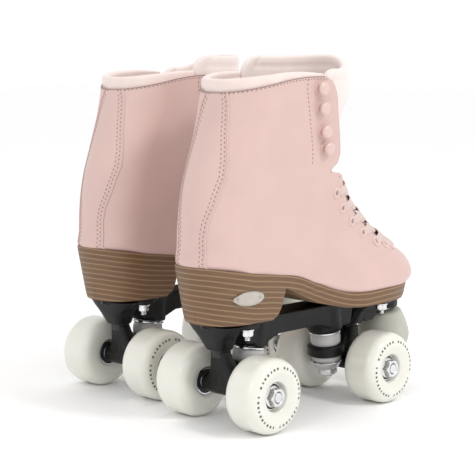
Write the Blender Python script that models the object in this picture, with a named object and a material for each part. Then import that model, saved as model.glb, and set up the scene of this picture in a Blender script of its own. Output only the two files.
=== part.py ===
"""A pair of quad roller skates, modelled sub-part by sub-part.

All sizes are in millimetres and become metres where a mesh or a place is made. Each skate has its own
frame: the origin lies on the ground below the middle of the wheelbase, +X is the skater's right, +Y runs
to the toe and +Z is up. Boot shapes are drawn for a right foot, whose outer side is +X, and are mirrored
for the left one.
"""
from math import atan2, cos, hypot, pi, radians, sin

import bmesh
import bpy
import numpy as np

MM = 0.001
SIDES = {"right": 1, "left": -1}
ENDS = {"front": 1, "rear": -1}
FLANKS = {"outer": 1, "inner": -1}

# The pair stands side by side, the left skate a little ahead
HALF_SPACING = 66.0
HALF_STAGGER = 7.0
CENTRE_SHIFT = -17.0

# Wheels, bearings and axles; bearing places are distances from the middle of the wheel
WHEEL_RADIUS = 29.0
WHEEL_HALF_WIDTH = 16.0
HALF_TRACK = 37.8
HALF_WHEELBASE = 69.0
SEAT_RADIUS = 11.3
BEARING_RADIUS = 10.8
BEARING_WIDTH = 7.0
INNER_BEARING = -15.0
OUTER_BEARING = 2.0
SPACER_RADIUS = 6.0
SPOOL_BORE = 4.6
AXLE_RADIUS = 4.0
AXLE_HALF_LENGTH = 53.4
NUT_RADIUS = 7.5
NUT_BORE = 5.0
NUT_HEIGHT = 6.2

# Trucks: the hanger turns on the line from its pivot pin to the middle of its ring
KINGPIN_TILT = radians(7)
RING_Y = 47.2
RING_Z = 41.0
RING_RADIUS = 15.3
RING_HOLE = 6.0
RING_HALF = 4.2
KINGPIN_RADIUS = 4.0
CUSHION_RADIUS = 12.1
CUSHION_HOLE = 4.8
CUSHION_HEIGHT = 10.0
BOSS_BOTTOM = 16.8
BOSS_RADIUS = 14.5
PIVOT_Y = 79.5
PIVOT_Z = 67.0
PIVOT_RADIUS = 4.6
ARM_LEAN = 0.32
HOUSING_RADIUS = 7.6
HOUSING_HALF = 22.3
GAP = 0.3

# Plate
PLATE_TOP = 81.0
FLANGE_BOTTOM = 76.5
SPINE_HALF_WIDTH = 13.5
NOSE_RADIUS = 15.0
NOSE_BOTTOM = 68.0

# Toe stop, whose stem leans forward as it goes down
STEM_LEAN = radians(8)
STEM_Y = 118.0
STEM_BASE = 78.5
STEM_RADIUS = 5.0
STEM_LENGTH = 33.0
PAD_TOP = 13.8
PAD_SOCKET = 34.0

# Boot and tongue
LEATHER = 2.4
LINING = 4.5
LINING_DEPTH = 3.6
LINING_RISE = 9.0
TONGUE = 5.0
TONGUE_DEPTH = 5.0
TONGUE_RISE = 13.0
TONGUE_OVERLAP = 9.0
LINING_SET_BACK = 5.0
LAST_OPEN_RIB = 10
HALF_COLUMNS = 9

# Ribs of the boot, from the collar down and forward to the toe. Each runs from a point on the instep
# line to a point on the back or the sole line: (front y, z), (back y, z), then the (outer, inner) half
# widths near the front and near the back, and the lengths of the rounding at the front and the back.
RIBS = [
    ((47, 268), (-84, 252.6), (38, 38), (37, 37), (32, 35)),
    ((47, 249), (-86.5, 244), (36.5, 36.5), (36, 36), (31, 35)),
    ((49, 228), (-91.5, 226), (34.5, 34.5), (34, 34), (29, 34)),
    ((52, 206), (-98, 205), (32.5, 32.5), (32.5, 32.5), (28, 33)),
    ((54, 187), (-105.5, 182), (30.3, 30.3), (31.5, 31.5), (27, 32)),
    ((61, 170), (-110, 158), (28, 28), (31, 31), (27, 31.5)),
    ((73, 155), (-111, 138), (26.5, 26.5), (31, 31), (27, 31)),
    ((86.5, 143), (-109.5, 123.5), (26.5, 26.5), (31, 31), (27, 30)),
    ((97.5, 134.5), (-75, 118.2), (28.5, 28), (31, 31), (28, 3)),
    ((104, 130.5), (-45, 114.0), (30.5, 30), (31.3, 30), (29, 3)),
    ((109, 127.3), (-22, 110.2), (33, 32.5), (31.5, 29), (30, 3)),
    ((113.5, 125), (-5, 103.4), (34, 34), (33.5, 30.5), (30, 3)),
    ((117.5, 123), (10, 97.4), (35, 35), (36, 33), (30, 3)),
    ((121, 121), (25, 93.4), (35.5, 36.5), (38.6, 36), (30, 3)),
    ((125.5, 118), (45, 91.4), (36, 38), (41.8, 40.5), (29, 3)),
    ((132, 112), (80, 91.6), (34, 39), (40.8, 43.6), (27, 3)),
    ((137.5, 105), (104, 92.0), (28, 36), (34.3, 41), (22, 3)),
    ((141, 99), (124, 93.0), (16, 26), (22, 32), (12, 2.5)),
    ((141.5, 97), (135, 94.4), (5, 14), (9, 20), (3, 1.5)),
]

# Half of the open throat, as a distance along each rib from its front point
THROAT = [58, 55, 51.5, 49, 45, 42, 36, 34, 32.5, 29, 22]

# How far the tongue's front line bends in from the instep line, at these rib numbers
TONGUE_SINK_RIBS = [0, 1, 2, 3, 3.75, 4.5, 5.5, 7, 9]
TONGUE_SINKS = [-6, -1, 5, 11, 17, 14, 6, 1, 0]

# Rib numbers of the lace holes, and how far behind the throat's edge they sit
EYELET_RIBS = [4.65, 5.4, 6.2, 7.1, 8.2, 9.2, 10.0]
EYELET_SET_BACK = 9.5
LACE_RADIUS = 0.7
LACE_SIDES = 4
LACE_HEIGHT = 2.0
LACE_HUMP = 2.6

# Sole: (y of the top edge, outer half width, inner half width), from heel to toe
SOLE_PLAN = [
    (-111.5, 6, 6), (-108, 17, 17), (-100, 25.5, 25.5), (-88, 30.5, 30.5), (-75, 32, 32),
    (-50, 32.5, 31.5), (-41, 32.3, 31), (-37.5, 32.3, 30.8), (-22, 32.5, 30), (-5, 34.5, 31.5),
    (10, 37, 34), (25, 39.6, 37), (45, 42.8, 41.5), (62, 43, 44), (80, 41.8, 44.6), (104, 35.3, 42),
    (116, 29, 38), (128, 20, 30.5), (137, 10, 22), (143, -1, 12),
]
SOLE_TOP = [
    (-112, 123.4), (-75, 117.9), (-45, 113.7), (-22, 109.9), (-5, 103.1), (10, 97.1), (25, 93.1),
    (45, 91.1), (80, 91.3), (104, 91.7), (124, 92.7), (144, 95.2),
]
SOLE_BOTTOM = [
    (-112, 81.3), (-50, 81.3), (-41, 89.5), (-37.5, 104.5), (-22, 98.5), (-5, 91.2), (10, 86.4),
    (25, 82.8), (42, 81.4), (104, 81.3), (116, 83), (130, 87.5), (144, 92.5),
]
HEEL_TAPER_START = -60.0
TOE_TAPER_START = 100.0
HEEL_TAPER = 0.155
TOE_TAPER = 0.14
SIDE_TAPER = 0.085


def material(name, colour, roughness, metallic=0.0):
    """A Principled material of one colour."""
    made = bpy.data.materials.new(name)
    made.use_nodes = True
    shader = made.node_tree.nodes["Principled BSDF"]
    shader.inputs["Base Color"].default_value = (*colour, 1)
    shader.inputs["Roughness"].default_value = roughness
    shader.inputs["Metallic"].default_value = metallic
    return made


def add_empty(name, place, parent=None):
    """An empty that places what hangs on it; place is in millimetres in the parent's frame."""
    made = bpy.data.objects.new(name, None)
    bpy.context.scene.collection.objects.link(made)
    made.location = [c * MM for c in place]
    made.parent = parent
    return made


def add_mesh(name, shape, finish, parent, smooth=True):
    """An object from (points in millimetres, faces), with doubles merged and its faces pointing out."""
    points, faces = shape
    mesh = bpy.data.meshes.new(name)
    mesh.from_pydata([[float(c) * MM for c in p] for p in points], [], [list(map(int, f)) for f in faces])
    cage = bmesh.new()
    cage.from_mesh(mesh)
    bmesh.ops.remove_doubles(cage, verts=cage.verts, dist=1e-6)
    bmesh.ops.recalc_face_normals(cage, faces=cage.faces)
    cage.to_mesh(mesh)
    cage.free()
    mesh.materials.append(finish)
    if smooth:
        mesh.shade_smooth()
        mesh.set_sharp_from_angle(angle=radians(35))
    made = bpy.data.objects.new(name, mesh)
    bpy.context.scene.collection.objects.link(made)
    made.parent = parent
    return made


def combine(target, operation, *shapes):
    """Join shapes to a target, or cut them from it, with one Boolean each; they stay hidden guides."""
    for number, shape in enumerate(shapes):
        guide = add_mesh(f"{target.name}_{operation.lower()}_{number}", shape,
                         target.data.materials[0], target.parent, smooth=False)
        guide.hide_render = True
        guide.display_type = "WIRE"
        joined = target.modifiers.new(guide.name, "BOOLEAN")
        joined.operation = operation
        joined.solver = "EXACT"
        joined.object = guide


def grid_faces(rows, columns, wrap=False):
    """Quads of a rows x columns grid of points, whose columns may close on themselves."""
    last = columns if wrap else columns - 1
    return [
        (r * columns + c, r * columns + (c + 1) % columns, (r + 1) * columns + (c + 1) % columns,
         (r + 1) * columns + c)
        for r in range(rows - 1) for c in range(last)
    ]


def turned(profile, segments, closed=False):
    """A profile of (radius, height) points turned about Z.

    A closed profile joins its last point to its first, which leaves a bore. An open one gets flat ends.
    """
    rings = list(profile) + ([profile[0]] if closed else [])
    points = [
        (radius * cos(2 * pi * k / segments), radius * sin(2 * pi * k / segments), height)
        for radius, height in rings for k in range(segments)
    ]
    faces = grid_faces(len(rings), segments, wrap=True)
    if not closed:
        faces.append(tuple(range(segments)))
        faces.append(tuple(range((len(rings) - 1) * segments, len(rings) * segments)))
    return points, faces


def across(shape):
    """A shape turned so that its height runs along +X and its +X points down."""
    points, faces = shape
    return [(z, y, -x) for x, y, z in points], faces


def prism(outline, low, high):
    """An outline of (x, y) points pulled from one height to another."""
    count = len(outline)
    points = [(x, y, z) for z in (low, high) for x, y in outline]
    faces = [(k, (k + 1) % count, count + (k + 1) % count, count + k) for k in range(count)]
    return points, faces + [tuple(range(count)), tuple(range(count, 2 * count))]


def slab(outline, half_width):
    """An outline of (y, z) points in side view, pulled to both sides."""
    points, faces = prism(outline, -half_width, half_width)
    return [(z, x, y) for x, y, z in points], faces


def placed(shape, y, z, lean=0.0):
    """A shape leant back about X by an angle, so that its height turns towards -Y, then moved."""
    points, faces = shape
    return [
        (px, y + py * cos(lean) - pz * sin(lean), z + py * sin(lean) + pz * cos(lean))
        for px, py, pz in points
    ], faces


def turned_end(shape, end):
    """A shape drawn for the front truck, mirrored in Y for the rear one."""
    points, faces = shape
    return [(x, end * y, z) for x, y, z in points], faces


def height_at(line, y):
    """Height at y of a line of (y, z) points."""
    return float(np.interp(y, [p[0] for p in line], [p[1] for p in line]))


def read_ribs(numbers):
    """Ribs at fractional numbers, read along Catmull-Rom curves.

    A row holds front y, z, back y, z, front half widths, back half widths and the two roundings.
    """
    rows = np.array([np.concatenate([np.ravel(part) for part in rib]) for rib in RIBS], float)
    rows = np.vstack([2 * rows[0] - rows[1], rows, 2 * rows[-1] - rows[-2]])
    numbers = np.asarray(numbers, float)
    low = np.clip(np.floor(numbers).astype(int), 0, len(RIBS) - 2)
    t = (numbers - low)[:, None]
    a, b, c, d = (rows[low + k] for k in range(4))
    return 0.5 * (2 * b + (c - a) * t + (2 * a - 5 * b + 4 * c - d) * t**2 + (3 * b - a - 3 * c + d) * t**3)


def rib_rows(numbers, depth=0.0, sunk=0.0):
    """Ribs at fractional numbers, drawn in by a depth square to the boot's surface.

    The front points are then sunk along their ribs, each by its own amount.
    """
    read = read_ribs(numbers)
    if depth == 0:
        return read
    numbers = np.asarray(numbers, float)
    ahead = read_ribs(numbers + 0.1) - read_ribs(numbers - 0.1)
    way = read[:, 2:4] - read[:, 0:2]
    way = way / np.hypot(way[:, 0], way[:, 1])[:, None]
    for columns, inward in ((slice(0, 2), 1), (slice(2, 4), -1)):
        line = ahead[:, columns] / np.hypot(ahead[:, columns][:, 0], ahead[:, columns][:, 1])[:, None]
        slant = np.abs(way[:, 0] * line[:, 1] - way[:, 1] * line[:, 0])
        read[:, columns] += way * inward * (depth / np.maximum(slant, 0.4))[:, None]
    read[:, 0:2] += way * np.reshape(sunk, (-1, 1))
    read[:, 4:8] -= depth
    read[:, 8:10] = np.maximum(read[:, 8:10] - depth, 1)
    return read


def half_loop(rib, inner):
    """Half of a rib's outline: shares of the rib's length, half widths and the running length.

    The half width is the rib's own times a quarter ellipse at each end, so the outline leaves the front
    point square to the rib, runs straight along the side and closes round at the back.
    """
    length = hypot(rib[2] - rib[0], rib[3] - rib[1])
    share = (1 - np.cos(np.linspace(0, pi, 241))) / 2
    rise = share * share * (3 - 2 * share)
    wide = rib[5 if inner else 4] * (1 - rise) + rib[7 if inner else 6] * rise
    nose = np.clip(share * length / rib[8], 0, 1)
    tail = np.clip((1 - share) * length / rib[9], 0, 1)
    wide = wide * np.sqrt(nose * (2 - nose)) * np.sqrt(tail * (2 - tail))
    run = np.concatenate([[0], np.cumsum(np.hypot(np.diff(share * length), np.diff(wide)))])
    return share, wide, run


def half_points(rib, start, finish, inner, count):
    """Points along half of a rib's outline, between two distances from its front point.

    A finish of None is the point at the back where the two halves meet. The steps then grow towards
    the back, and the last two go round the end of the rib, so that its corner always carries a point.
    """
    share, wide, run = half_loop(rib, inner)
    if finish is None:
        length = hypot(rib[2] - rib[0], rib[3] - rib[1])
        corner = float(np.interp(1 - 0.25 * rib[9] / length, share, run))
        where = np.concatenate([
            start + (corner - start) * np.linspace(0, 1, count - 2) ** 1.4,
            np.linspace(corner, run[-1], 3)[1:],
        ])
    else:
        where = np.linspace(start, finish, count)
    along = np.interp(where, run, share)
    outward = np.interp(where, run, wide) * (-1 if inner else 1)
    return np.stack([
        outward, rib[0] + (rib[2] - rib[0]) * along, rib[1] + (rib[3] - rib[1]) * along
    ], axis=1)


def throat_at(number):
    """Half of the throat's opening at a rib number, nought where the upper is closed."""
    return float(np.interp(number, range(len(THROAT)), THROAT)) if number <= LAST_OPEN_RIB else 0.0


def wrapped_row(rib, start, count):
    """A row that starts on the inner side, goes round the back and ends on the outer side."""
    inner = half_points(rib, start, None, True, count)
    outer = half_points(rib, start, None, False, count)
    return np.vstack([inner, outer[-2::-1]])


def front_row(rib, reach, count):
    """A row that crosses the front of the leg, from the inner side to the outer."""
    inner = half_points(rib, 0, reach, True, count)
    outer = half_points(rib, 0, reach, False, count)
    return np.vstack([inner[:0:-1], outer])


def lifted(row, number, rise=0.0):
    """A row raised to the curved edge of the collar, whose hump fades over the first two ribs."""
    y = row[:, 1]
    hump = 5.0 * np.sin(pi * np.clip((y + 84) / 100, 0, 1)) - 9.0 * np.clip(y / 20, 0, 1) ** 2
    raised = row.copy()
    raised[:, 2] += hump * max(0.0, 1 - number / 2) + rise
    return raised


def add_boot_sheet(name, rows, faces, thickness, side, finish, parent):
    """A sheet of boot rows, mirrored for a left boot, facing out and thickened inwards."""
    points = np.vstack(rows) * (side, 1, 1)
    made = add_mesh(name, (points, faces), finish, parent)
    middle = points.mean(axis=0) * MM
    facing = sum(
        sum((face.center[k] - middle[k]) * face.normal[k] for k in range(3)) * face.area
        for face in made.data.polygons
    )
    if facing < 0:
        made.data.flip_normals()
    wall = made.modifiers.new("thickness", "SOLIDIFY")
    wall.thickness = thickness * MM
    wall.offset = -1.0
    wall.use_quality_normals = True
    return made


def add_upper(name, side, finish, parent):
    """The leather upper: collar, quarters and facings, open at the throat, and the vamp and toe."""
    numbers = [0, 1, 2, 3, 4, 5, 6, 7, 8, 9, 10, 10.6, 11, 12, 13, 14, 15, 16, 17, 18]
    rows = [
        lifted(wrapped_row(rib, throat_at(number), HALF_COLUMNS + 1), number)
        for number, rib in zip(numbers, rib_rows(numbers))
    ]
    columns = 2 * HALF_COLUMNS + 1
    faces = grid_faces(len(rows), columns)
    first = (len(rows) - 1) * columns
    faces.append(tuple(range(first, first + columns - 1)))
    return add_boot_sheet(name, rows, faces, LEATHER, side, finish, parent)


def add_lining(name, side, finish, parent):
    """The padded collar lining, which stands proud of the collar and lines the ankle."""
    numbers = [0, 0, 1, 2, 3, 4]
    rises = [1] + [0] * 5
    rows = []
    for number, rise, rib in zip(numbers, rises, rib_rows(numbers, LINING_DEPTH)):
        row = lifted(wrapped_row(rib, throat_at(number) + TONGUE_OVERLAP + LINING_SET_BACK, HALF_COLUMNS + 1), number)
        share = np.clip((20 - row[:, 1]) / 60, 0.3, 1)
        row[:, 2] += rise * LINING_RISE * share
        rows.append(row)
    return add_boot_sheet(name, rows, grid_faces(len(rows), 2 * HALF_COLUMNS + 1), LINING, side, finish,
                          parent)


def add_tongue(name, side, finish, parent):
    """The padded tongue, which lies under both facings and stands above them."""
    numbers = [0, 0, 1, 2, 3, 4, 5, 6, 7, 8, 9, 10]
    rises = [TONGUE_RISE] + [0] * 11
    rows = []
    sunk = np.interp(numbers, TONGUE_SINK_RIBS, TONGUE_SINKS)
    for number, rise, sink, rib in zip(numbers, rises, sunk, rib_rows(numbers, TONGUE_DEPTH, sunk)):
        row = front_row(rib, throat_at(number) + TONGUE_OVERLAP - sink, 5)
        row[:, 2] += rise - 6.0 * (np.abs(row[:, 0]) / 38) ** 2 * max(0.0, 1 - number / 3)
        rows.append(row)
    return add_boot_sheet(name, rows, grid_faces(len(rows), 9), TONGUE, side, finish, parent)


def instep_point(number, across_front, height):
    """A point above the upper: a rib number, a signed distance from the front line and a height."""
    step = 0.05

    def at(n, a):
        rib = rib_rows([n])[0]
        return half_points(rib, abs(a), abs(a), a < 0, 1)[0]

    here = at(number, across_front)
    up = at(number - step, across_front) - at(number + step, across_front)
    outward = at(number, across_front + 1) - at(number, across_front - 1)
    normal = np.cross(outward, up)
    normal = normal / np.linalg.norm(normal)
    if normal[1] < 0:
        normal = -normal
    return here + normal * height, normal


def add_lace(name, side, finish, parent):
    """The lace: down through the eyelets from side to side, across the lowest pair and back up."""
    steps = 5
    rounds = len(EYELET_RIBS) - 1
    path = []
    for way in (1, -1):
        places = np.linspace(0, rounds, rounds * steps + 1)
        for place in places if way == 1 else places[::-1]:
            number = float(np.interp(place, range(rounds + 1), EYELET_RIBS))
            reach = throat_at(number) + EYELET_SET_BACK
            height = LACE_HEIGHT + (LACE_HUMP * sin(pi * place) ** 2 if way < 0 else 0)
            path.append((number, way * reach * cos(pi * place), height))
        if way == 1:
            number, reach, _ = path[-1]
            path += [(number, reach * (1 - 2 * k / 6), LACE_HEIGHT) for k in range(1, 6)]
    placed_points = [instep_point(*step) for step in path]
    spots = np.array([p[0] for p in placed_points])
    normals = np.array([p[1] for p in placed_points])
    ahead = np.gradient(spots, axis=0)
    ahead = ahead / np.linalg.norm(ahead, axis=1)[:, None]
    beside = np.cross(ahead, normals)
    beside = beside / np.linalg.norm(beside, axis=1)[:, None]
    above = np.cross(beside, ahead)
    points = [
        spot + LACE_RADIUS * (b * cos(2 * pi * k / LACE_SIDES) + n * sin(2 * pi * k / LACE_SIDES))
        for spot, b, n in zip(spots, beside, above) for k in range(LACE_SIDES)
    ]
    faces = grid_faces(len(spots), LACE_SIDES, wrap=True)
    faces.append(tuple(range(LACE_SIDES)))
    faces.append(tuple(range(LACE_SIDES * (len(spots) - 1), LACE_SIDES * len(spots))))
    return add_mesh(name, (np.array(points) * (side, 1, 1), faces), finish, parent)


def add_sole(name, side, finish, parent):
    """The stacked heel, shank and forefoot in one piece, flat below the heel and the forefoot."""
    points = []
    for y, outer, inner in SOLE_PLAN:
        top = height_at(SOLE_TOP, y)
        bottom = height_at(SOLE_BOTTOM, y)
        low_y = y + max(0.0, HEEL_TAPER_START - y) * HEEL_TAPER - max(0.0, y - TOE_TAPER_START) * TOE_TAPER
        drawn_in = (top - bottom) * SIDE_TAPER
        points += [
            (-inner, y, top), (outer, y, top),
            (outer - drawn_in, low_y, bottom), (drawn_in - inner, low_y, bottom),
        ]
    faces = grid_faces(len(SOLE_PLAN), 4, wrap=True)
    faces.append((0, 1, 2, 3))
    faces.append(tuple(range(len(points) - 4, len(points))))
    return add_mesh(name, (np.array(points) * (side, 1, 1), faces), finish, parent)


def add_plate(name, finish, parent):
    """The chassis: a flange under the sole, a spine, two kingpin bosses, two pivots and a nose."""
    half = [
        (12, -90), (20, -80), (28, -76), (28.5, -65), (24, -59), (16, -48), (13.5, -35), (13.5, 30),
        (15, 50), (18, 75), (24, 82), (28.5, 86), (28.5, 97), (24, 101), (17, 104), (15, 118),
        (12, 127), (6, 132),
    ]
    outline = [(0, -96)] + half + [(0, 133)] + [(-x, y) for x, y in half[::-1]]
    made = add_mesh(name, prism(outline, FLANGE_BOTTOM, PLATE_TOP), finish, parent)
    spine = [(-66, 78), (-62, 62), (-35, 61.5), (-25, 65.5), (25, 65.5), (35, 61.5), (62, 61.5), (66, 78)]
    bridge = [(84, 60.5), (95, 60.5), (101, 68.4), (116, 68.4), (116, 78), (84, 78)]
    added = [
        slab(spine, SPINE_HALF_WIDTH - 0.3),
        slab(bridge, 11),
        placed(turned([(NOSE_RADIUS, NOSE_BOTTOM), (NOSE_RADIUS, 79)], 20), STEM_Y, 0),
    ]
    cuts = [
        placed(turned([(5.7, -12), (5.7, 0.4)], 16), STEM_Y, STEM_BASE, STEM_LEAN),
    ]
    pivot_lean = -atan2(3.5, 20)
    for end in ENDS.values():
        boss = turned([(BOSS_RADIUS, BOSS_BOTTOM), (BOSS_RADIUS, 36.5)], 16)
        added.append(turned_end(placed(boss, RING_Y, RING_Z, KINGPIN_TILT), end))
        pivot = turned([(8.8, 0), (11.4, 20)], 16)
        added.append(turned_end(placed(pivot, 77.5, 58.1, pivot_lean), end))
        hole = turned([(4.7, 10), (4.7, 29)], 12)
        cuts.append(turned_end(placed(hole, RING_Y, RING_Z, KINGPIN_TILT), end))
        socket = turned([(6.8, 0), (6.8, 14)], 14)
        cuts.append(turned_end(placed(socket, 76, 56, -ARM_LEAN), end))
    combine(made, "UNION", *added)
    combine(made, "DIFFERENCE", *cuts)
    return made


def add_truck(name, end, finish, parent):
    """The hanger: an axle housing, an arm with its pivot pin, and the ring the cushions grip."""
    housing = [
        (6.9, -HOUSING_HALF), (HOUSING_RADIUS, -14), (HOUSING_RADIUS, 14), (6.9, HOUSING_HALF),
    ]
    centre = (0, HALF_WHEELBASE, WHEEL_RADIUS)
    points, faces = across(turned(housing, 16))
    points = [(x, y + centre[1], z + centre[2]) for x, y, z in points]
    made = add_mesh(name, turned_end((points, faces), end), finish, parent)
    web = [
        (RING_Y + 8, 45.5), (RING_Y + 8, 39.6), (61.3, 39.8), (63.4, 36), (66.5, 22.6), (75, 25), (76, 33),
        (66, 40.5),
    ]
    arm = turned([(9.5, 0), (5.4, 25.5), (PIVOT_RADIUS, 27), (PIVOT_RADIUS, 33.6), (3.4, 34.6)], 14)
    ring = turned([(RING_RADIUS, -RING_HALF), (RING_RADIUS, RING_HALF)], 20)
    hole = turned([(RING_HOLE, -RING_HALF - 3), (RING_HOLE, RING_HALF + 3)], 14)
    bore, bore_faces = across(turned([(4.4, -40), (4.4, 40)], 12))
    bore = [(x, y + centre[1], z + centre[2]) for x, y, z in bore]
    added = [slab(web, 9), placed(arm, 68.6, 34, -ARM_LEAN), placed(ring, RING_Y, RING_Z, KINGPIN_TILT)]
    cuts = [placed(hole, RING_Y, RING_Z, KINGPIN_TILT), (bore, bore_faces)]
    combine(made, "UNION", *[turned_end(shape, end) for shape in added])
    combine(made, "DIFFERENCE", *[turned_end(shape, end) for shape in cuts])
    return made


def add_on_kingpin(name, profile, segments, closed, end, finish, parent):
    """A turned piece on the leaning kingpin; heights count from the middle of the hanger's ring."""
    shape = placed(turned(profile, segments, closed), 0, 0, KINGPIN_TILT)
    return add_mesh(name, turned_end(shape, end), finish, parent)


def add_wheel(name, flank, finish, parent):
    """A wheel with two bearing seats and a web between them."""
    profile = [
        (SEAT_RADIUS, -15.6), (21.5, -WHEEL_HALF_WIDTH), (WHEEL_RADIUS, -9.5), (WHEEL_RADIUS, 9.5),
        (21.5, WHEEL_HALF_WIDTH), (12.6, 13.8), (SEAT_RADIUS, OUTER_BEARING - GAP),
        (9, OUTER_BEARING - GAP), (9, INNER_BEARING + BEARING_WIDTH + GAP),
        (SEAT_RADIUS, INNER_BEARING + BEARING_WIDTH + GAP),
    ]
    points, faces = across(turned(profile, 16, closed=True))
    return add_mesh(name, ([(flank * x, y, z) for x, y, z in points], faces), finish, parent)


def add_bearings(name, flank, finish, parent):
    """The two bearings of a wheel and the spacer between them."""
    profile = [
        (SPOOL_BORE, INNER_BEARING), (BEARING_RADIUS, INNER_BEARING),
        (BEARING_RADIUS, INNER_BEARING + BEARING_WIDTH), (SPACER_RADIUS, INNER_BEARING + BEARING_WIDTH),
        (SPACER_RADIUS, OUTER_BEARING), (BEARING_RADIUS, OUTER_BEARING),
        (BEARING_RADIUS, OUTER_BEARING + BEARING_WIDTH), (SPOOL_BORE, OUTER_BEARING + BEARING_WIDTH),
    ]
    points, faces = across(turned(profile, 10, closed=True))
    return add_mesh(name, ([(flank * x, y, z) for x, y, z in points], faces), finish, parent)


def add_nut(name, flank, finish, parent):
    """The hexagonal nut that holds a wheel on its axle."""
    low = OUTER_BEARING + BEARING_WIDTH + GAP
    profile = [(NUT_BORE, low), (NUT_RADIUS, low), (NUT_RADIUS, low + NUT_HEIGHT), (NUT_BORE, low + NUT_HEIGHT)]
    points, faces = across(turned(profile, 6, closed=True))
    return add_mesh(name, ([(flank * x, y, z) for x, y, z in points], faces), finish, parent, smooth=False)


def add_toe_stop(names, finishes, parent):
    """The rubber pad and its threaded stem; heights count along the stem from its top."""
    pad = [
        (5.4, -PAD_SOCKET + 1), (5.4, -PAD_TOP), (16.5, -PAD_TOP), (20, -22.7), (22.3, -32.8),
        (22.5, -37.3), (20, -43.9), (18.5, -48.9), (16.6, -52),
    ]
    stem = [(STEM_RADIUS, -STEM_LENGTH + 0.6), (STEM_RADIUS, -0.6), (STEM_RADIUS - 0.6, 0)]
    add_mesh(names[0], placed(turned(pad, 20), 0, 0, STEM_LEAN), finishes[0], parent)
    add_mesh(names[1], placed(turned(stem, 12), 0, 0, STEM_LEAN), finishes[1], parent)


def add_skate(foot, finishes):
    """One whole skate on its own empty."""
    side = SIDES[foot]
    skate = add_empty(f"{foot}_skate", (side * HALF_SPACING, CENTRE_SHIFT - side * HALF_STAGGER, 0))
    add_upper(f"{foot}_boot_upper", side, finishes["leather"], skate)
    add_lining(f"{foot}_collar_lining", side, finishes["lining"], skate)
    add_tongue(f"{foot}_tongue", side, finishes["lining"], skate)
    add_lace(f"{foot}_lace", side, finishes["lace"], skate)
    add_sole(f"{foot}_sole", side, finishes["sole"], skate)
    add_plate(f"{foot}_plate", finishes["alloy"], skate)
    stop = add_empty(f"{foot}_toe_stop", (0, STEM_Y, STEM_BASE), skate)
    add_toe_stop((f"{foot}_toe_stop_pad", f"{foot}_toe_stop_stem"), (finishes["rubber"], finishes["steel"]),
                 stop)
    for place, end in ENDS.items():
        label = f"{foot}_{place}"
        seat = add_empty(f"{label}_kingpin_seat", (0, end * RING_Y, RING_Z), skate)
        add_on_kingpin(f"{label}_kingpin", [
            (KINGPIN_RADIUS, 28), (KINGPIN_RADIUS, -14.6), (7.6, -14.6), (12, -9.7), (13, -9.4),
            (8.6, -15.9), (7.2, -15.9), (7.2, -20), (KINGPIN_RADIUS, -20), (KINGPIN_RADIUS, -21.4),
        ], 12, False, end, finishes["steel"], seat)
        low = RING_HALF + GAP
        add_on_kingpin(f"{label}_upper_cushion", [
            (CUSHION_HOLE, low), (CUSHION_RADIUS, low), (CUSHION_RADIUS, low + CUSHION_HEIGHT),
            (CUSHION_HOLE, low + CUSHION_HEIGHT),
        ], 12, True, end, finishes["cushion"], seat)
        add_on_kingpin(f"{label}_lower_cushion", [
            (CUSHION_HOLE, -low), (CUSHION_RADIUS, -low), (11.2, -9.1), (7, -14.2), (CUSHION_HOLE, -14.2),
        ], 12, True, end, finishes["cushion"], seat)
        steer = add_empty(f"{label}_steering", (0, end * PIVOT_Y, PIVOT_Z), skate)
        frame = add_empty(f"{label}_truck_frame", (0, -end * PIVOT_Y, -PIVOT_Z), steer)
        add_truck(f"{label}_truck", end, finishes["alloy"], frame)
        hub = add_empty(f"{label}_axle_line", (0, end * HALF_WHEELBASE, WHEEL_RADIUS), frame)
        add_mesh(f"{label}_axle", across(turned([(AXLE_RADIUS, -AXLE_HALF_LENGTH),
                                                 (AXLE_RADIUS, AXLE_HALF_LENGTH)], 10)),
                 finishes["steel"], hub)
        for flank_name, flank in FLANKS.items():
            toward = flank * side
            middle = add_empty(f"{label}_{flank_name}_hub", (toward * HALF_TRACK, 0, 0), hub)
            add_wheel(f"{label}_{flank_name}_wheel", toward, finishes["wheel"], middle)
            add_bearings(f"{label}_{flank_name}_bearings", toward, finishes["steel"], middle)
            add_nut(f"{label}_{flank_name}_nut", toward, finishes["steel"], middle)


for left_over in list(bpy.data.objects):
    bpy.data.objects.remove(left_over, do_unlink=True)

FINISHES = {
    "leather": material("pale pink leather", (0.75, 0.53, 0.48), 0.45),
    "lining": material("cream padded cloth", (0.90, 0.80, 0.75), 0.8),
    "lace": material("pink lace", (0.80, 0.58, 0.55), 0.85),
    "sole": material("stacked brown sole", (0.26, 0.15, 0.085), 0.5),
    "alloy": material("satin black alloy", (0.016, 0.014, 0.015), 0.42, 0.3),
    "steel": material("bright steel", (0.62, 0.62, 0.63), 0.3, 1.0),
    "cushion": material("pale grey urethane", (0.45, 0.45, 0.44), 0.5),
    "wheel": material("off-white urethane", (0.84, 0.84, 0.78), 0.35),
    "rubber": material("cream rubber", (0.58, 0.58, 0.51), 0.6),
}

for foot_name in SIDES:
    add_skate(foot_name, FINISHES)
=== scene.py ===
"""The looks of a pair of quad roller skates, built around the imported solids.

Shapes are worked out in millimetres in a skate's own frame: the origin lies on the ground below the
middle of the wheelbase, +X is the outer side of the foot, +Y runs to the toe and +Z is up. A left skate's
shapes are mirrored. Where a skate stands, and the sizes of its wheels, axles and plate, come from the
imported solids.
"""
from math import cos, pi, radians, sin

import bmesh
import bpy
import numpy as np
from mathutils import Matrix, Vector


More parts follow.
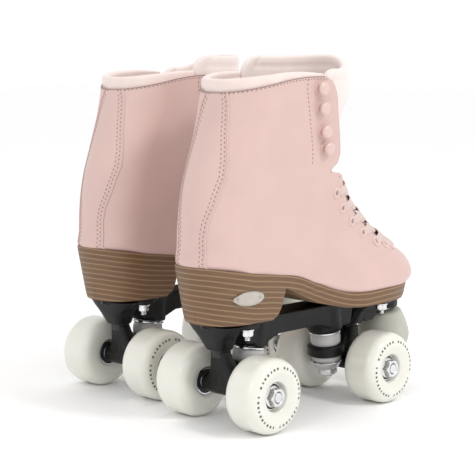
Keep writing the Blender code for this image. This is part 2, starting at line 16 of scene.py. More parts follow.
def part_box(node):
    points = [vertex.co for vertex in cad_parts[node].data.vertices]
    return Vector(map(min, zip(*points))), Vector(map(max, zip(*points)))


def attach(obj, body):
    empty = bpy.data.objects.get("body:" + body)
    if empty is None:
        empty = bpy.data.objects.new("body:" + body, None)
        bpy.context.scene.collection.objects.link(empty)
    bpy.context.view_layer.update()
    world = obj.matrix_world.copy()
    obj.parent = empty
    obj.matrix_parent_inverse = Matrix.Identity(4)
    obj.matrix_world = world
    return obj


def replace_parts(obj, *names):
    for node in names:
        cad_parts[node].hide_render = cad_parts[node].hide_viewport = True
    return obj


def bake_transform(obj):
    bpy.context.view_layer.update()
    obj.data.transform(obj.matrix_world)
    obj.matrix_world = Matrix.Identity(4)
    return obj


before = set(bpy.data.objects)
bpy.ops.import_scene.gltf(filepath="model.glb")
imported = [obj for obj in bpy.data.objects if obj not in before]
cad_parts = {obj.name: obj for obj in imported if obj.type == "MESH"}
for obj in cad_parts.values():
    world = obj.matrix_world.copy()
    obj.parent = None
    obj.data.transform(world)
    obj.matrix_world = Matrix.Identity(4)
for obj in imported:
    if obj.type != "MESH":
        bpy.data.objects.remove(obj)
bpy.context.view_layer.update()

MM = 0.001
MERGE = 1e-6
FLAT_MAP = "millimetres"
SIDES = {"right": 1, "left": -1}
ENDS = {"front": 1, "rear": -1}
FLANKS = {"outer": 1, "inner": -1}


def middle(node):
    """The middle of a solid's box, in millimetres."""
    low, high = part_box(node)
    return (np.array(low) + np.array(high)) / 2 / MM


def extent(node):
    """The size of a solid's box, in millimetres."""
    low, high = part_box(node)
    return (np.array(high) - np.array(low)) / MM


# Sizes and places read from the solids of the right skate
ORIGINS = {
    foot: (middle(f"{foot}_front_axle") + middle(f"{foot}_rear_axle")) / 2 * (1, 1, 0) for foot in SIDES
}
WHEEL_RADIUS = extent("right_front_outer_wheel")[2] / 2
WHEEL_HALF = extent("right_front_outer_wheel")[0] / 2
HALF_TRACK = abs(middle("right_front_outer_wheel")[0] - ORIGINS["right"][0])
HALF_BASE = middle("right_front_axle")[1] - ORIGINS["right"][1]
AXLE_HALF = extent("right_front_axle")[0] / 2
PLATE_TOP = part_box("right_plate")[1][2] / MM

# Trucks and kingpins: the kingpin's lean, the middle of the hanger's ring, and the pivot arm's lean and foot
LEAN = radians(7)
RING_Y = 47.2
RING_Z = 41.0
RING_BORE = 6.0
RING_RADIUS = 15.3
RING_HALF = 4.2
ARM_LEAN = 0.32
ARM_Y = 68.6
ARM_Z = 34.0
PIVOT_CUP_Y = 76.0
PIVOT_CUP_Z = 56.0
HOUSING_HALF = 22.3
KINGPIN_RADIUS = 4.0
CUSHION_TOP = 14.5
CUSHION_BOTTOM = -14.2
CUSHION_GRIP = 4.5
BOSS_LOW = 16.8
BOSS_RADIUS = 14.5
THREAD_DEPTH = 0.4

# Toe stop, plate and its bolts
STEM_LEAN = radians(8)
STEM_Y = 118.0
STEM_BASE = 78.5
STEM_RADIUS = 5.0
NOSE_LOW = 68.0
FLANGE_LOW = 76.5
SPINE_HALF = 13.2
BRIDGE_HALF = 11.0
BOLTS_X = (-22, 22)
BOLTS_Y = (-70.5, 91.5)
PLATE_VOXEL = 0.8
HANGER_VOXEL = 0.65

# Wheels: the lip's radius and depth, the bearings, and the printed ring of dashes with two rests in it
LIP_RADIUS = 20.0
LIP_X = 6.5
SEAT_RADIUS = 11.3
BEARING_LOWS = (-15.0, 2.0)
BEARING_WIDTH = 7.0
DASHES = 38
RESTS = (7, 18)
DASH_RADII = (21.4, 23.2)

# Boot: each rib runs from a point on the instep line to a point on the back or the sole line: front
# (y, z), back (y, z), (outer, inner) half widths near the front and near the back, and the lengths of
# the rounding at the front and the back
RIBS = [
    ((47, 268), (-84, 252.6), (38, 38), (37, 37), (32, 35)),
    ((47, 249), (-86.5, 244), (36.5, 36.5), (36, 36), (31, 35)),
    ((49, 228), (-91.5, 226), (34.5, 34.5), (34, 34), (29, 34)),
    ((52, 206), (-98, 205), (32.5, 32.5), (32.5, 32.5), (28, 33)),
    ((54, 187), (-105.5, 182), (30.3, 30.3), (31.5, 31.5), (27, 32)),
    ((61, 170), (-110, 158), (28, 28), (31, 31), (27, 31.5)),
    ((73, 155), (-111, 138), (26.5, 26.5), (31, 31), (27, 31)),
    ((86.5, 143), (-109.5, 123.5), (26.5, 26.5), (31, 31), (27, 30)),
    ((97.5, 134.5), (-75, 118.2), (28.5, 28), (31, 31), (28, 3)),
    ((104, 130.5), (-45, 114.0), (30.5, 30), (31.3, 30), (29, 3)),
    ((109, 127.3), (-22, 110.2), (33, 32.5), (31.5, 29), (30, 3)),
    ((113.5, 125), (-5, 103.4), (34, 34), (33.5, 30.5), (30, 3)),
    ((117.5, 123), (10, 97.4), (35, 35), (36, 33), (30, 3)),
    ((121, 121), (25, 93.4), (35.5, 36.5), (38.6, 36), (30, 3)),
    ((125.5, 118), (45, 91.4), (36, 38), (41.8, 40.5), (29, 3)),
    ((132, 112), (80, 91.6), (34, 39), (40.8, 43.6), (27, 3)),
    ((137.5, 105), (104, 92.0), (28, 36), (34.3, 41), (22, 3)),
    ((141, 99), (124, 93.0), (16, 26), (22, 32), (12, 2.5)),
    ((141.5, 97), (135, 94.4), (5, 14), (9, 20), (3, 1.5)),
]
# Half of the open throat at rib numbers, as a distance from the front line; it dips back at the notch
THROAT_RIBS = [
    0, 0.12, 0.3, 0.6, 1, 1.6, 2.35, 3.04, 3.4, 3.62, 3.76, 3.82, 3.9, 4.05, 4.3, 5, 6, 7, 8, 9, 10,
]
THROAT = [
    73, 66, 61.5, 58, 55.5, 53.5, 50.5, 49.2, 51.5, 57.5, 59.5, 48, 45.5, 44, 43.5, 41.5, 36, 34, 32.5,
    29, 22,
]
BACK_SEAM_RIBS = [0, 1, 2.2, 3, 3.6, 4.45, 5, 5.6, 7, 7.5]
BACK_SEAM = [8.4, 12, 15.6, 19.5, 21.5, 17.7, 13.9, 12.5, 14.1, 15]
FACING_SEAM_RIBS = [0, 0.6, 1.4, 2.3, 3, 3.7]
FACING_SEAM = [93, 92, 88, 84, 82, 82]
THROAT_LAST = 10
THROAT_END = 10.7
UPPER_COLUMNS = 151
TONGUE_SINK_RIBS = [0, 1, 2, 3, 3.75, 4.5, 5.5, 7, 9]
TONGUE_SINKS = [-3.5, 1, 6.5, 12, 16, 9, 4.5, 1.8, 0.5]
TONGUE_DEPTH = 6.3
TONGUE_CROWN = 4.2
TONGUE_HALF = 2.9
TONGUE_END = 150.0
LINING_RISE = 9.0
LINING_END = 72.0
LEATHER = 2.4
SET_BACK = 9.5
EYELET_RIBS = np.array([4.65, 5.4, 6.2, 7.1, 8.2, 9.2, 10.0])
HOOK_RIBS = np.array([0.58, 1.38, 2.2, 2.8])
HOOK_REACH = np.array([78.0, 74.5, 71.0, 67.5])
# How far the lace lies behind the front line at rib numbers, pulled straight across the throat
LACE_SINK_RIBS = [3.9, 4.65, 5.4, 6.2, 7.1, 8]
LACE_SINKS = [13, 7.8, 4.3, 2.6, 1, 0.3]
TUCK_RIB = 3.98
LACE_WIDTH = 6.8
LACE_THICKNESS = 1.15
LACE_LIFT = 0.9
LACE_STEPS = 35
TONGUE_RISE = 25.0
STITCH_PITCH = 3.4
STITCH_LENGTH = 1.5
STITCH_RADIUS = 0.42
ROW_GAP = 2.6
STRIPE_PITCH = 4.15
SOLE_OVERLAP = 2.2
SIDE_TAPER = 0.085
HEEL_LEAN_FROM, HEEL_LEAN = -60, 0.155
TOE_LEAN_FROM, TOE_LEAN = 100, 0.14
BADGE_Y, BADGE_Z = -77.0, 101.5
BADGE_HALF = (14.3, 5.65)
FOOTBED_BACK, FOOTBED_TIP = -101, 128

# Sole: y, outer and inner half widths; then the heights of its upper and its lower edge
SOLE_PLAN = [
    (-111.9, 0, 0), (-108, 17, 17), (-100, 25.5, 25.5), (-88, 30.5, 30.5), (-75, 32, 32),
    (-50, 32.5, 31.5), (-37.5, 32.3, 30.8), (-22, 32.5, 30), (-5, 34.5, 31.5), (10, 37, 34),
    (25, 39.6, 37), (45, 42.8, 41.5), (62, 43, 44), (80, 41.8, 44.6), (104, 35.3, 42), (116, 29, 38),
    (128, 20, 30.5), (137, 10, 22), (143.4, -6, 6),
]
SOLE_TOP = [
    (-112, 123.4), (-75, 117.9), (-45, 113.7), (-22, 109.9), (-5, 103.1), (10, 97.1), (25, 93.1),
    (45, 91.1), (80, 91.3), (104, 91.7), (124, 92.7), (144, 95.2),
]
SOLE_BOTTOM = [
    (-112, 81.3), (-50, 81.3), (-44, 84.2), (-40.6, 90), (-37.5, 104.5), (-22, 98.5), (-5, 91.2), (10, 86.4),
    (25, 82.8), (42, 81.4), (104, 81.3), (116, 83), (130, 87.5), (144, 92.5),
]


# ---------------------------------------------------------------- materials


class Socket:
    """A node's output whose arithmetic adds Math nodes."""

    def __init__(self, tree, output):
        self.tree = tree
        self.output = output

    def _with(self, operation, *others):
        node = self.tree.nodes.new("ShaderNodeMath")
        node.operation = operation
        for place, value in enumerate(others):
            if isinstance(value, Socket):
                self.tree.links.new(value.output, node.inputs[place])
            else:
                node.inputs[place].default_value = value
        return Socket(self.tree, node.outputs[0])

    def __add__(self, other):
        return self._with("ADD", self, other)

    def __radd__(self, other):
        return self._with("ADD", other, self)

    def __sub__(self, other):
        return self._with("SUBTRACT", self, other)

    def __rsub__(self, other):
        return self._with("SUBTRACT", other, self)

    def __mul__(self, other):
        return self._with("MULTIPLY", self, other)

    def __rmul__(self, other):
        return self._with("MULTIPLY", other, self)

    def __truediv__(self, other):
        return self._with("DIVIDE", self, other)

    def __pow__(self, other):
        return self._with("POWER", self, other)

    def sine(self):
        return self._with("SINE", self)

    def absolute(self):
        return self._with("ABSOLUTE", self)

    def clamped(self):
        return self._with("MAXIMUM", self._with("MINIMUM", self, 1.0), 0.0)


class Finish:
    """A material: one Principled shader and the nodes that feed it."""

    def __init__(self, name, **constants):
        self.material = bpy.data.materials.new(name)
        self.material.use_nodes = True
        self.tree = self.material.node_tree
        self.shader = self.tree.nodes["Principled BSDF"]
        for key, value in constants.items():
            self.shader.inputs[key.replace("_", " ")].default_value = value

    def node(self, kind, settings=None, out=0, **values):
        """One node: its settings first, then the values or links of its sockets, by name or by number."""
        made = self.tree.nodes.new(kind)
        for key, value in (settings or {}).items():
            setattr(made, key, value)
        for key, value in values.items():
            socket = made.inputs[int(key[1:])] if key[0] == "_" else made.inputs[key.replace("_", " ")]
            if isinstance(value, Socket):
                self.tree.links.new(value.output, socket)
            else:
                socket.default_value = value
        return Socket(self.tree, made.outputs[out])

    def places(self):
        return self.node("ShaderNodeTexCoord", out=3)

    def flat_map(self):
        return self.node("ShaderNodeUVMap", {"uv_map": FLAT_MAP})

    def noise(self, scale, detail=3.0, vector=None, roughness=0.5):
        return self.node("ShaderNodeTexNoise", Vector=vector or self.places(), Scale=scale, Detail=detail,
                         Roughness=roughness)

    def cells(self, scale, vector=None, feature="F1"):
        return self.node("ShaderNodeTexVoronoi", {"feature": feature}, Vector=vector or self.places(),
                         Scale=scale)

    def part(self, vector, axis):
        return self.node("ShaderNodeSeparateXYZ", out=axis, Vector=vector)

    def mix(self, share, first, second):
        """A colour between two colours."""
        return self.node("ShaderNodeMix", {"data_type": "RGBA"}, out=2, _0=share, _6=first, _7=second)

    def feed(self, **links):
        for key, value in links.items():
            self.tree.links.new(value.output, self.shader.inputs[key.replace("_", " ")])
        return self

    def bump(self, height, distance, strength=1.0):
        """Relief of a given height in millimetres."""
        relief = self.node("ShaderNodeBump", Height=height, Distance=distance * MM, Strength=strength)
        return self.feed(Normal=relief)


def colour(red, green, blue):
    """A linear colour with alpha from display levels of 0 to 255."""
    levels = np.array([red, green, blue]) / 255
    linear = np.where(levels <= 0.04045, levels / 12.92, ((levels + 0.055) / 1.055) ** 2.4)
    return (*[float(c) for c in linear], 1.0)


def shade(tint, factor):
    """A colour made darker or paler by one factor."""
    return (*[min(1.0, c * factor) for c in tint[:3]], 1.0)


def leather(name, tint, grain=0.05, rough=0.46, coat=0.06):
    """Smooth leather: fine pebbled grain, soft mottling and a sheen that varies a little."""
    made = Finish(name, Coat_Weight=coat, Coat_Roughness=0.3, Sheen_Weight=0.08)
    mottle = made.noise(38, 4)
    fine = made.noise(900, 3)
    pebbles = made.cells(1150, feature="SMOOTH_F1")
    made.feed(Base_Color=made.mix((mottle - 0.32) * 1.6, shade(tint, 0.955), shade(tint, 1.03)))
    made.feed(Roughness=rough + (mottle - 0.5) * 0.10 + (fine - 0.5) * 0.08)
    return made.bump(pebbles * 0.7 + fine * 0.5, grain).material


def padded_cloth(name, tint, low_tint=None, change=0.0):
    """Brushed lining cloth: a fine knit under short fibres, matt. It may have another tint lower down."""
    made = Finish(name, Sheen_Weight=0.35, Sheen_Roughness=0.45)
    spots = made.places()
    low_tint = low_tint or tint
    lower = ((change * MM - made.part(spots, 2)) * 250).clamped()
    fuzz = made.noise(1500, 4)
    cloud = made.noise(55, 3)
    ribs = (made.part(spots, 2) * 5200).sine() * ((made.part(spots, 0) + made.part(spots, 1)) * 5200).sine()
    cloudy = made.mix((cloud - 0.3) * 1.5, shade(tint, 0.95), shade(tint, 1.02))
    made.feed(Base_Color=made.mix(lower, cloudy, low_tint))
    made.feed(Roughness=0.8 + (fuzz - 0.5) * 0.15)
    return made.bump(ribs * 0.25 + fuzz, 0.12).material


def woven_lace(name, tint):
    """Flat woven lace: a herringbone across a map whose u runs along the lace and v across it, in mm."""
    made = Finish(name, Sheen_Weight=0.2)
    flat = made.flat_map()
    along = made.part(flat, 0)
    over = made.part(flat, 1)
    weave = ((along * 6.0 + over.absolute() * 5.0).sine() * (over * 7.5).sine() + 1) * 0.5
    fibre = made.noise(2600, 3)
    # Darker where the weave's relief is low: painted shade in the weave's hollows
    made.feed(Base_Color=made.mix(weave * 0.75 + fibre * 0.2, shade(tint, 0.78), shade(tint, 1.04)))
    made.feed(Roughness=0.85 + (fibre - 0.5) * 0.1)
    return made.bump(weave + fibre * 0.3, 0.16).material


def layered_sole(name, tint, pale):
    """Stacked layers: thin pale lines at an even pitch over streaked brown, on the map (y, drop) in mm."""
    made = Finish(name, Coat_Weight=0.05, Coat_Roughness=0.4)
    flat = made.flat_map()
    along = made.part(flat, 0)
    drop = made.part(flat, 1)
    stretched = made.node("ShaderNodeMapping", Vector=made.places(), Scale=(40, 12, 700))
    streaks = made.noise(1.0, 4, stretched)
    wobble = made.noise(22, 2)
    height = drop * (1 / STRIPE_PITCH) + (wobble - 0.5) * 0.5 + (along * 0.11).sine() * 0.06
    line = ((height * 2 * pi).sine() * 0.5 + 0.5) ** 7
    body = made.mix((streaks - 0.25) * 1.7, shade(tint, 0.72), shade(tint, 1.22))
    made.feed(Base_Color=made.mix((line * 0.6).clamped(), body, pale))
    made.feed(Roughness=0.56 + (streaks - 0.5) * 0.25)
    return made.bump(streaks * 0.5 - line * 0.6, 0.10).material


def coated_metal(name, tint):
    """Cast alloy under a satin black coat: faint casting texture and uneven gloss."""
    made = Finish(name, Specular_IOR_Level=0.28)
    orange = made.noise(700, 4)
    cloud = made.noise(60, 3)
    made.feed(Base_Color=made.mix((cloud - 0.3) * 1.5, tint, shade(tint, 1.5)))
    made.feed(Roughness=0.42 + (cloud - 0.5) * 0.2 + (orange - 0.5) * 0.15)
    return made.bump(orange, 0.12).material


def bright_metal(name, tint, rough=0.24):
    """Plated steel: fine turning marks and a little smear."""
    made = Finish(name, Metallic=1.0)
    smear = made.noise(120, 3)
    marks = made.noise(1.0, 3, made.node("ShaderNodeMapping", Vector=made.places(), Scale=(3000, 500, 500)))
    made.feed(Base_Color=made.mix((smear - 0.25) * 1.5, shade(tint, 0.85), tint))
    made.feed(Roughness=rough + (smear - 0.5) * 0.16 + (marks - 0.5) * 0.08)
    return made.bump(marks, 0.02).material


def urethane(name, tint, rough, inner=0.0):
    """Cast urethane: milky and smooth, with faint clouding and handling scuffs."""
    made = Finish(name, Subsurface_Weight=inner, Subsurface_Radius=(1, 0.9, 0.75), Subsurface_Scale=0.004,
                  Coat_Weight=0.25, Coat_Roughness=0.16)
    cloud = made.noise(45, 3)
    scuff = made.noise(420, 4)
    made.feed(Base_Color=made.mix((cloud - 0.3) * 1.6, shade(tint, 0.965), shade(tint, 1.02)))
    made.feed(Roughness=rough + (cloud - 0.5) * 0.08 + (scuff - 0.5) * 0.10)
    return made.bump(scuff * 0.5 + cloud, 0.006).material


def rubber(name, tint):
    """Moulded rubber: matt, with a fine even pitting, and darker where its cloudy relief is lower."""
    made = Finish(name, Specular_IOR_Level=0.35)
    pits = made.cells(1400)
    cloud = made.noise(70, 4)
    made.feed(Base_Color=made.mix((cloud - 0.3) * 1.6, shade(tint, 0.88), shade(tint, 1.03)))
    made.feed(Roughness=0.68 + (cloud - 0.5) * 0.2)
    return made.bump(pits + cloud, 0.08).material


def plain_dark(name, tint, rough):
    """A dark moulded face with a little unevenness."""
    made = Finish(name)
    cloud = made.noise(500, 3)
    made.feed(Base_Color=made.mix(cloud, tint, shade(tint, 1.7)))
    made.feed(Roughness=rough + (cloud - 0.5) * 0.2)
    return made.bump(cloud, 0.03).material


PINK = colour(208, 178, 171)
LACE_PINK = colour(222, 199, 192)
LINING = colour(232, 214, 208)
TONGUE_TINT = colour(233, 219, 214)
SKIN = {
    "leather": leather("pale pink smooth leather", PINK),
    "trim": leather("pink coated trim", shade(PINK, 1.06), grain=0.02, rough=0.34, coat=0.6),
    "lining": padded_cloth("blush lining cloth", LINING),
    "tongue": padded_cloth("cream tongue cloth", TONGUE_TINT, shade(PINK, 0.92), 200),
    "lace": woven_lace("pink flat lace", LACE_PINK),
    # Dark pink: the stitches' thread, dark so that it also stands for painted shade in the needle holes; the
    # same finish is painted shade in the eyelet holes and along the collar's edge
    "thread": leather("dark pink thread and painted shade", shade(PINK, 0.5), grain=0.08, rough=0.7),
    "sole": layered_sole("brown stacked layers", colour(110, 81, 54), colour(166, 138, 106)),
    "alloy": coated_metal("satin black alloy", colour(15, 14, 15)),
    "steel": bright_metal("zinc plated steel", colour(232, 232, 234), 0.2),
    "badge": bright_metal("brushed badge metal", colour(196, 190, 182), 0.36),
    "cushion": urethane("grey white cushion urethane", colour(186, 186, 184), 0.4),
    "wheel": urethane("milky white wheel urethane", colour(228, 227, 217), 0.15, 0.12),
    "stop": rubber("cream stop rubber", colour(192, 191, 180)),
    "shield": plain_dark("black bearing shield", colour(26, 26, 27), 0.45),
    "mark": plain_dark("grey print", colour(74, 74, 74), 0.6),
    "socket": plain_dark("black moulded cup", colour(30, 29, 30), 0.5),
}


# ---------------------------------------------------------------- shapes


class Shape:
    """Points in millimetres, faces and an optional map of two numbers a point."""

    def __init__(self, points, faces, flat=None):
        self.points = np.asarray(points, float).reshape(-1, 3)
        self.faces = [np.asarray(part, int) for part in faces]
        self.flat = flat

    def moved(self, offset):
        return Shape(self.points + np.asarray(offset, float), self.faces, self.flat)

    def turned(self, matrix):
        """The shape with each point multiplied by a 3 x 3 matrix."""
        turned = Shape(self.points @ np.asarray(matrix, float).T, self.faces, self.flat)
        if np.linalg.det(matrix) < 0:
            turned.faces = [part[:, ::-1] for part in turned.faces]
        return turned

    def leant(self, y, z, angle):
        """The shape leant back about X by an angle, then moved to (0, y, z)."""
        c, s = cos(angle), sin(angle)
        return self.turned([[1, 0, 0], [0, c, -s], [0, s, c]]).moved((0, y, z))

    def ended(self, end):
        """A front shape as it is, or mirrored in Y for the rear."""
        return self if end > 0 else self.turned(np.diag([1, -1, 1]))


def joined(*shapes):
    """Several shapes as one."""
    points, faces, flats, first = [], [], [], 0
    for shape in shapes:
        points.append(shape.points)
        faces += [part + first for part in shape.faces]
        flats.append(shape.flat if shape.flat is not None else np.zeros((len(shape.points), 2)))
        first += len(shape.points)
    return Shape(np.vstack(points), faces, np.vstack(flats))


def grid_quads(rows, columns, wrap_rows=False, wrap_columns=False):
    """Corner numbers of a grid's quads, whose rows or columns may close on themselves."""
    r = np.arange(rows if wrap_rows else rows - 1)[:, None]
    c = np.arange(columns if wrap_columns else columns - 1)[None, :]
    below, beside = (r + 1) % rows, (c + 1) % columns
    corners = (r * columns + c, r * columns + beside, below * columns + beside, below * columns + c)
    return np.stack(np.broadcast_arrays(*corners), axis=-1).reshape(-1, 4)


def sheet_of(points, wrap_rows=False, wrap_columns=False, flat=None):
    """A grid of points (rows, columns, 3) as a shape."""
    rows, columns = points.shape[:2]
    return Shape(points, [grid_quads(rows, columns, wrap_rows, wrap_columns)],
                 None if flat is None else flat.reshape(-1, 2))


def capped(tube, columns):
    """A tube of rows of so many points, closed by one face at each end."""
    last = len(tube.points) - columns
    ends = [np.arange(columns)[None, ::-1], (last + np.arange(columns))[None, :]]
    return Shape(tube.points, tube.faces + ends, tube.flat)


def normals_of(points):
    """Unit normals of a grid of points: the cross product of its two differences."""
    normal = np.cross(np.gradient(points, axis=1), np.gradient(points, axis=0))
    return normal / np.maximum(np.linalg.norm(normal, axis=2), 1e-9)[..., None]


def lathe(profile, segments=64, closed=True):
    """A profile of (radius, height) turned about Z: (r cos a, r sin a, h). A radius of 0 closes a pole."""
    profile = np.asarray(profile, float)
    angle = np.linspace(0, 2 * pi, segments, endpoint=False)
    radius, height = profile[:, 0, None], profile[:, 1, None]
    points = np.stack(np.broadcast_arrays(radius * np.cos(angle), radius * np.sin(angle), height), axis=-1)
    return sheet_of(points, wrap_rows=closed, wrap_columns=True)


def rounded(profile, radius, steps=4):
    """A closed profile whose corners are arcs: quadratic curves that start and end a radius away."""
    profile = np.asarray(profile, float)
    before, after = np.roll(profile, 1, axis=0), np.roll(profile, -1, axis=0)
    out = []
    for a, b, c in zip(before, profile, after):
        first, second = a - b, c - b
        start = b + first * min(0.45, radius / max(np.linalg.norm(first), 1e-9))
        finish = b + second * min(0.45, radius / max(np.linalg.norm(second), 1e-9))
        t = np.linspace(0, 1, steps)[:, None]
        out.append((1 - t) ** 2 * start + 2 * t * (1 - t) * b + t**2 * finish)
    return np.vstack(out)


def hexagon(radius, low, high, bore, flange=None):
    """A hexagonal nut about Z, its corners chamfered at the top and its bottom flared into a flange.

    The radius at an angle is the hexagon's flat distance over the cosine of the angle from the flat.
    """
    segments = 72
    angle = np.linspace(0, 2 * pi, segments, endpoint=False)
    inside = radius * cos(pi / 6)
    flat = inside / np.cos((angle + pi / 6) % (pi / 3) - pi / 6)
    chamfer = inside + 0.08
    rings = [(np.full(segments, bore), low)]
    if flange:
        rings += [(np.full(segments, flange), low), (np.full(segments, flange), low + 0.5),
                  (np.full(segments, flange - 1.6), low + 1.3), (flat, low + 1.6)]
    else:
        rings += [(np.minimum(flat, chamfer), low), (flat, low + 0.7)]
    rings += [(flat, high - 0.75), (np.minimum(flat, chamfer), high), (np.full(segments, bore + 0.5), high),
              (np.full(segments, bore), high - 0.5)]
    points = np.stack([
        np.stack([r * np.cos(angle), r * np.sin(angle), np.full(segments, h)], axis=1) for r, h in rings
    ])
    return sheet_of(points, wrap_rows=True, wrap_columns=True)


def threaded(radius, low, high, pitch=1.0, depth=0.45, segments=40):
    """A threaded rod about Z: the radius falls and rises with height less the turn's share of a pitch."""
    rows = int((high - low) / pitch * 8)
    angle = np.linspace(0, 2 * pi, segments, endpoint=False)[None, :]
    height = np.linspace(low, high, rows)[:, None]
    wave = np.abs(((height / pitch - angle / (2 * pi)) % 1) * 2 - 1)
    fade = np.clip(np.minimum(height - low, high - height) / 0.8, 0, 1)
    radii = radius - depth * wave * fade - 0.5 * (1 - np.clip((high - height) / 0.7, 0, 1))
    points = np.stack(np.broadcast_arrays(radii * np.cos(angle), radii * np.sin(angle), height), axis=-1)
    made = capped(sheet_of(points, wrap_columns=True), segments)
    return Shape(made.points, [part[:, ::-1] for part in made.faces])


def across(shape):
    """A shape about Z turned to lie along X."""
    return shape.turned([[0, 0, 1], [0, 1, 0], [-1, 0, 0]])


def slab(outline, half_width):
    """An outline of (y, z) points pulled to both sides."""
    outline = np.asarray(outline, float)
    count = len(outline)
    points = [np.column_stack([np.full(count, x), outline]) for x in (-half_width, half_width)]
    ring = np.arange(count)
    after = (ring + 1) % count
    sides = np.stack([ring, after, count + after, count + ring], axis=1)
    return Shape(np.vstack(points), [sides, ring[None, ::-1], count + ring[None, :]])


def curve_through(knots, at, column):
    """A cubic through knots read at x: each knot's slope is the mean of its neighbours' slopes."""
    x = np.array([k[0] for k in knots], float)
    y = np.array([k[column] for k in knots], float)
    slope = np.gradient(y, x)
    place = np.clip(np.searchsorted(x, at, side="right") - 1, 0, len(x) - 2)
    width = x[place + 1] - x[place]
    t = np.clip((at - x[place]) / width, 0, 1)
    first = y[place] * (1 + 2 * t) * (1 - t) ** 2 + slope[place] * width * t * (1 - t) ** 2
    return first + y[place + 1] * t**2 * (3 - 2 * t) - slope[place + 1] * width * t**2 * (1 - t)


def piece(name, shape, finish, foot, body, replaces=(), sharp=38):
    """A finished object: the shape mirrored for a left foot, put in its place, and riding on its body."""
    side = SIDES[foot]
    points = (shape.points * (side, 1, 1) + ORIGINS[foot]) * MM
    mesh = bpy.data.meshes.new(name)
    faces = [face for part in shape.faces for face in (part[:, ::-1] if side < 0 else part).tolist()]
    mesh.from_pydata(points.tolist(), [], faces)
    if shape.flat is not None:
        chart = mesh.uv_layers.new(name=FLAT_MAP)
        corners = np.zeros(len(mesh.loops), int)
        mesh.loops.foreach_get("vertex_index", corners)
        chart.data.foreach_set("uv", shape.flat[corners].ravel())
    cage = bmesh.new()
    cage.from_mesh(mesh)
    bmesh.ops.remove_doubles(cage, verts=cage.verts, dist=MERGE)
    bmesh.ops.recalc_face_normals(cage, faces=cage.faces)
    cage.to_mesh(mesh)
    cage.free()
    mesh.materials.append(finish)
    mesh.shade_smooth()
    mesh.set_sharp_from_angle(angle=radians(sharp))
    made = bpy.data.objects.new(name, mesh)
    bpy.context.scene.collection.objects.link(made)
    if body:
        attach(made, body)
    if replaces:
        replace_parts(made, *replaces)
    return made


def applied(made):
    """The object with its modifiers made part of its mesh."""
    graph = bpy.context.evaluated_depsgraph_get()
    final = bpy.data.meshes.new_from_object(made.evaluated_get(graph))
    made.modifiers.clear()
    old = made.data
    made.data = final
    bpy.data.meshes.remove(old)
    return made


def thickened(made, thickness):
    """A wall drawn inwards from a sheet that faces out."""
    wall = made.modifiers.new("wall", "SOLIDIFY")
    wall.thickness = thickness * MM
    wall.offset = -1.0
    wall.use_quality_normals = True
    return made


# ---------------------------------------------------------------- boot surface


def read_ribs(numbers):
    """Ribs at fractional numbers, read along Catmull-Rom curves.

    A row holds front y, z, back y, z, front half widths, back half widths and the two roundings.
    """
    rows = np.array([np.concatenate([np.ravel(part) for part in rib]) for rib in RIBS], float)
    rows = np.vstack([2 * rows[0] - rows[1], rows, 2 * rows[-1] - rows[-2]])
    low = np.clip(np.floor(numbers).astype(int), 0, len(RIBS) - 2)
    t = (numbers - low)[:, None]
    a, b, c, d = (rows[low + k] for k in range(4))
    return 0.5 * (2 * b + (c - a) * t + (2 * a - 5 * b + 4 * c - d) * t**2 + (3 * b - a - 3 * c + d) * t**3)


def rib_rows(numbers, depth=0.0, sunk=0.0):
    """Ribs at fractional numbers, drawn in by a depth square to the boot's surface.

    The front points are then sunk along their ribs, each by its own amount.
    """
    numbers = np.atleast_1d(np.asarray(numbers, float))
    read = read_ribs(numbers)
    if np.all(np.asarray(depth) == 0):
        return read
    ahead = read_ribs(numbers + 0.1) - read_ribs(numbers - 0.1)
    way = read[:, 2:4] - read[:, 0:2]
    way = way / np.hypot(way[:, 0], way[:, 1])[:, None]
    depth = np.broadcast_to(depth, numbers.shape)
    for columns, inward in ((slice(0, 2), 1), (slice(2, 4), -1)):
        line = ahead[:, columns] / np.hypot(ahead[:, columns][:, 0], ahead[:, columns][:, 1])[:, None]
        slant = np.abs(way[:, 0] * line[:, 1] - way[:, 1] * line[:, 0])
        read[:, columns] += way * inward * (depth / np.maximum(slant, 0.4))[:, None]
    read[:, 0:2] += way * np.broadcast_to(sunk, numbers.shape)[:, None]
    read[:, 4:8] -= depth[:, None]
    read[:, 8:10] = np.maximum(read[:, 8:10] - depth[:, None], 1)
    return read


SHARES = (1 - np.cos(np.linspace(0, pi, 361))) / 2


def half_loops(ribs, inner):
    """Half widths and running lengths of each rib's outline at SHARES of the rib's length.

    The half width is the rib's own times a quarter ellipse at each end, so the outline leaves the front
    point square to the rib, runs straight along the side and closes round at the back.
    """
    length = np.hypot(ribs[:, 2] - ribs[:, 0], ribs[:, 3] - ribs[:, 1])[:, None]
    rise = SHARES * SHARES * (3 - 2 * SHARES)
    near, far = (ribs[:, k, None] for k in ((5, 7) if inner else (4, 6)))
    wide = near * (1 - rise) + far * rise
    nose = np.clip(SHARES * length / ribs[:, 8, None], 0, 1)
    tail = np.clip((1 - SHARES) * length / ribs[:, 9, None], 0, 1)
    wide = wide * np.sqrt(nose * (2 - nose)) * np.sqrt(tail * (2 - tail))
    steps = np.hypot(np.diff(SHARES * length, axis=1), np.diff(wide, axis=1))
    return wide, np.concatenate([np.zeros((len(ribs), 1)), np.cumsum(steps, axis=1)], axis=1)


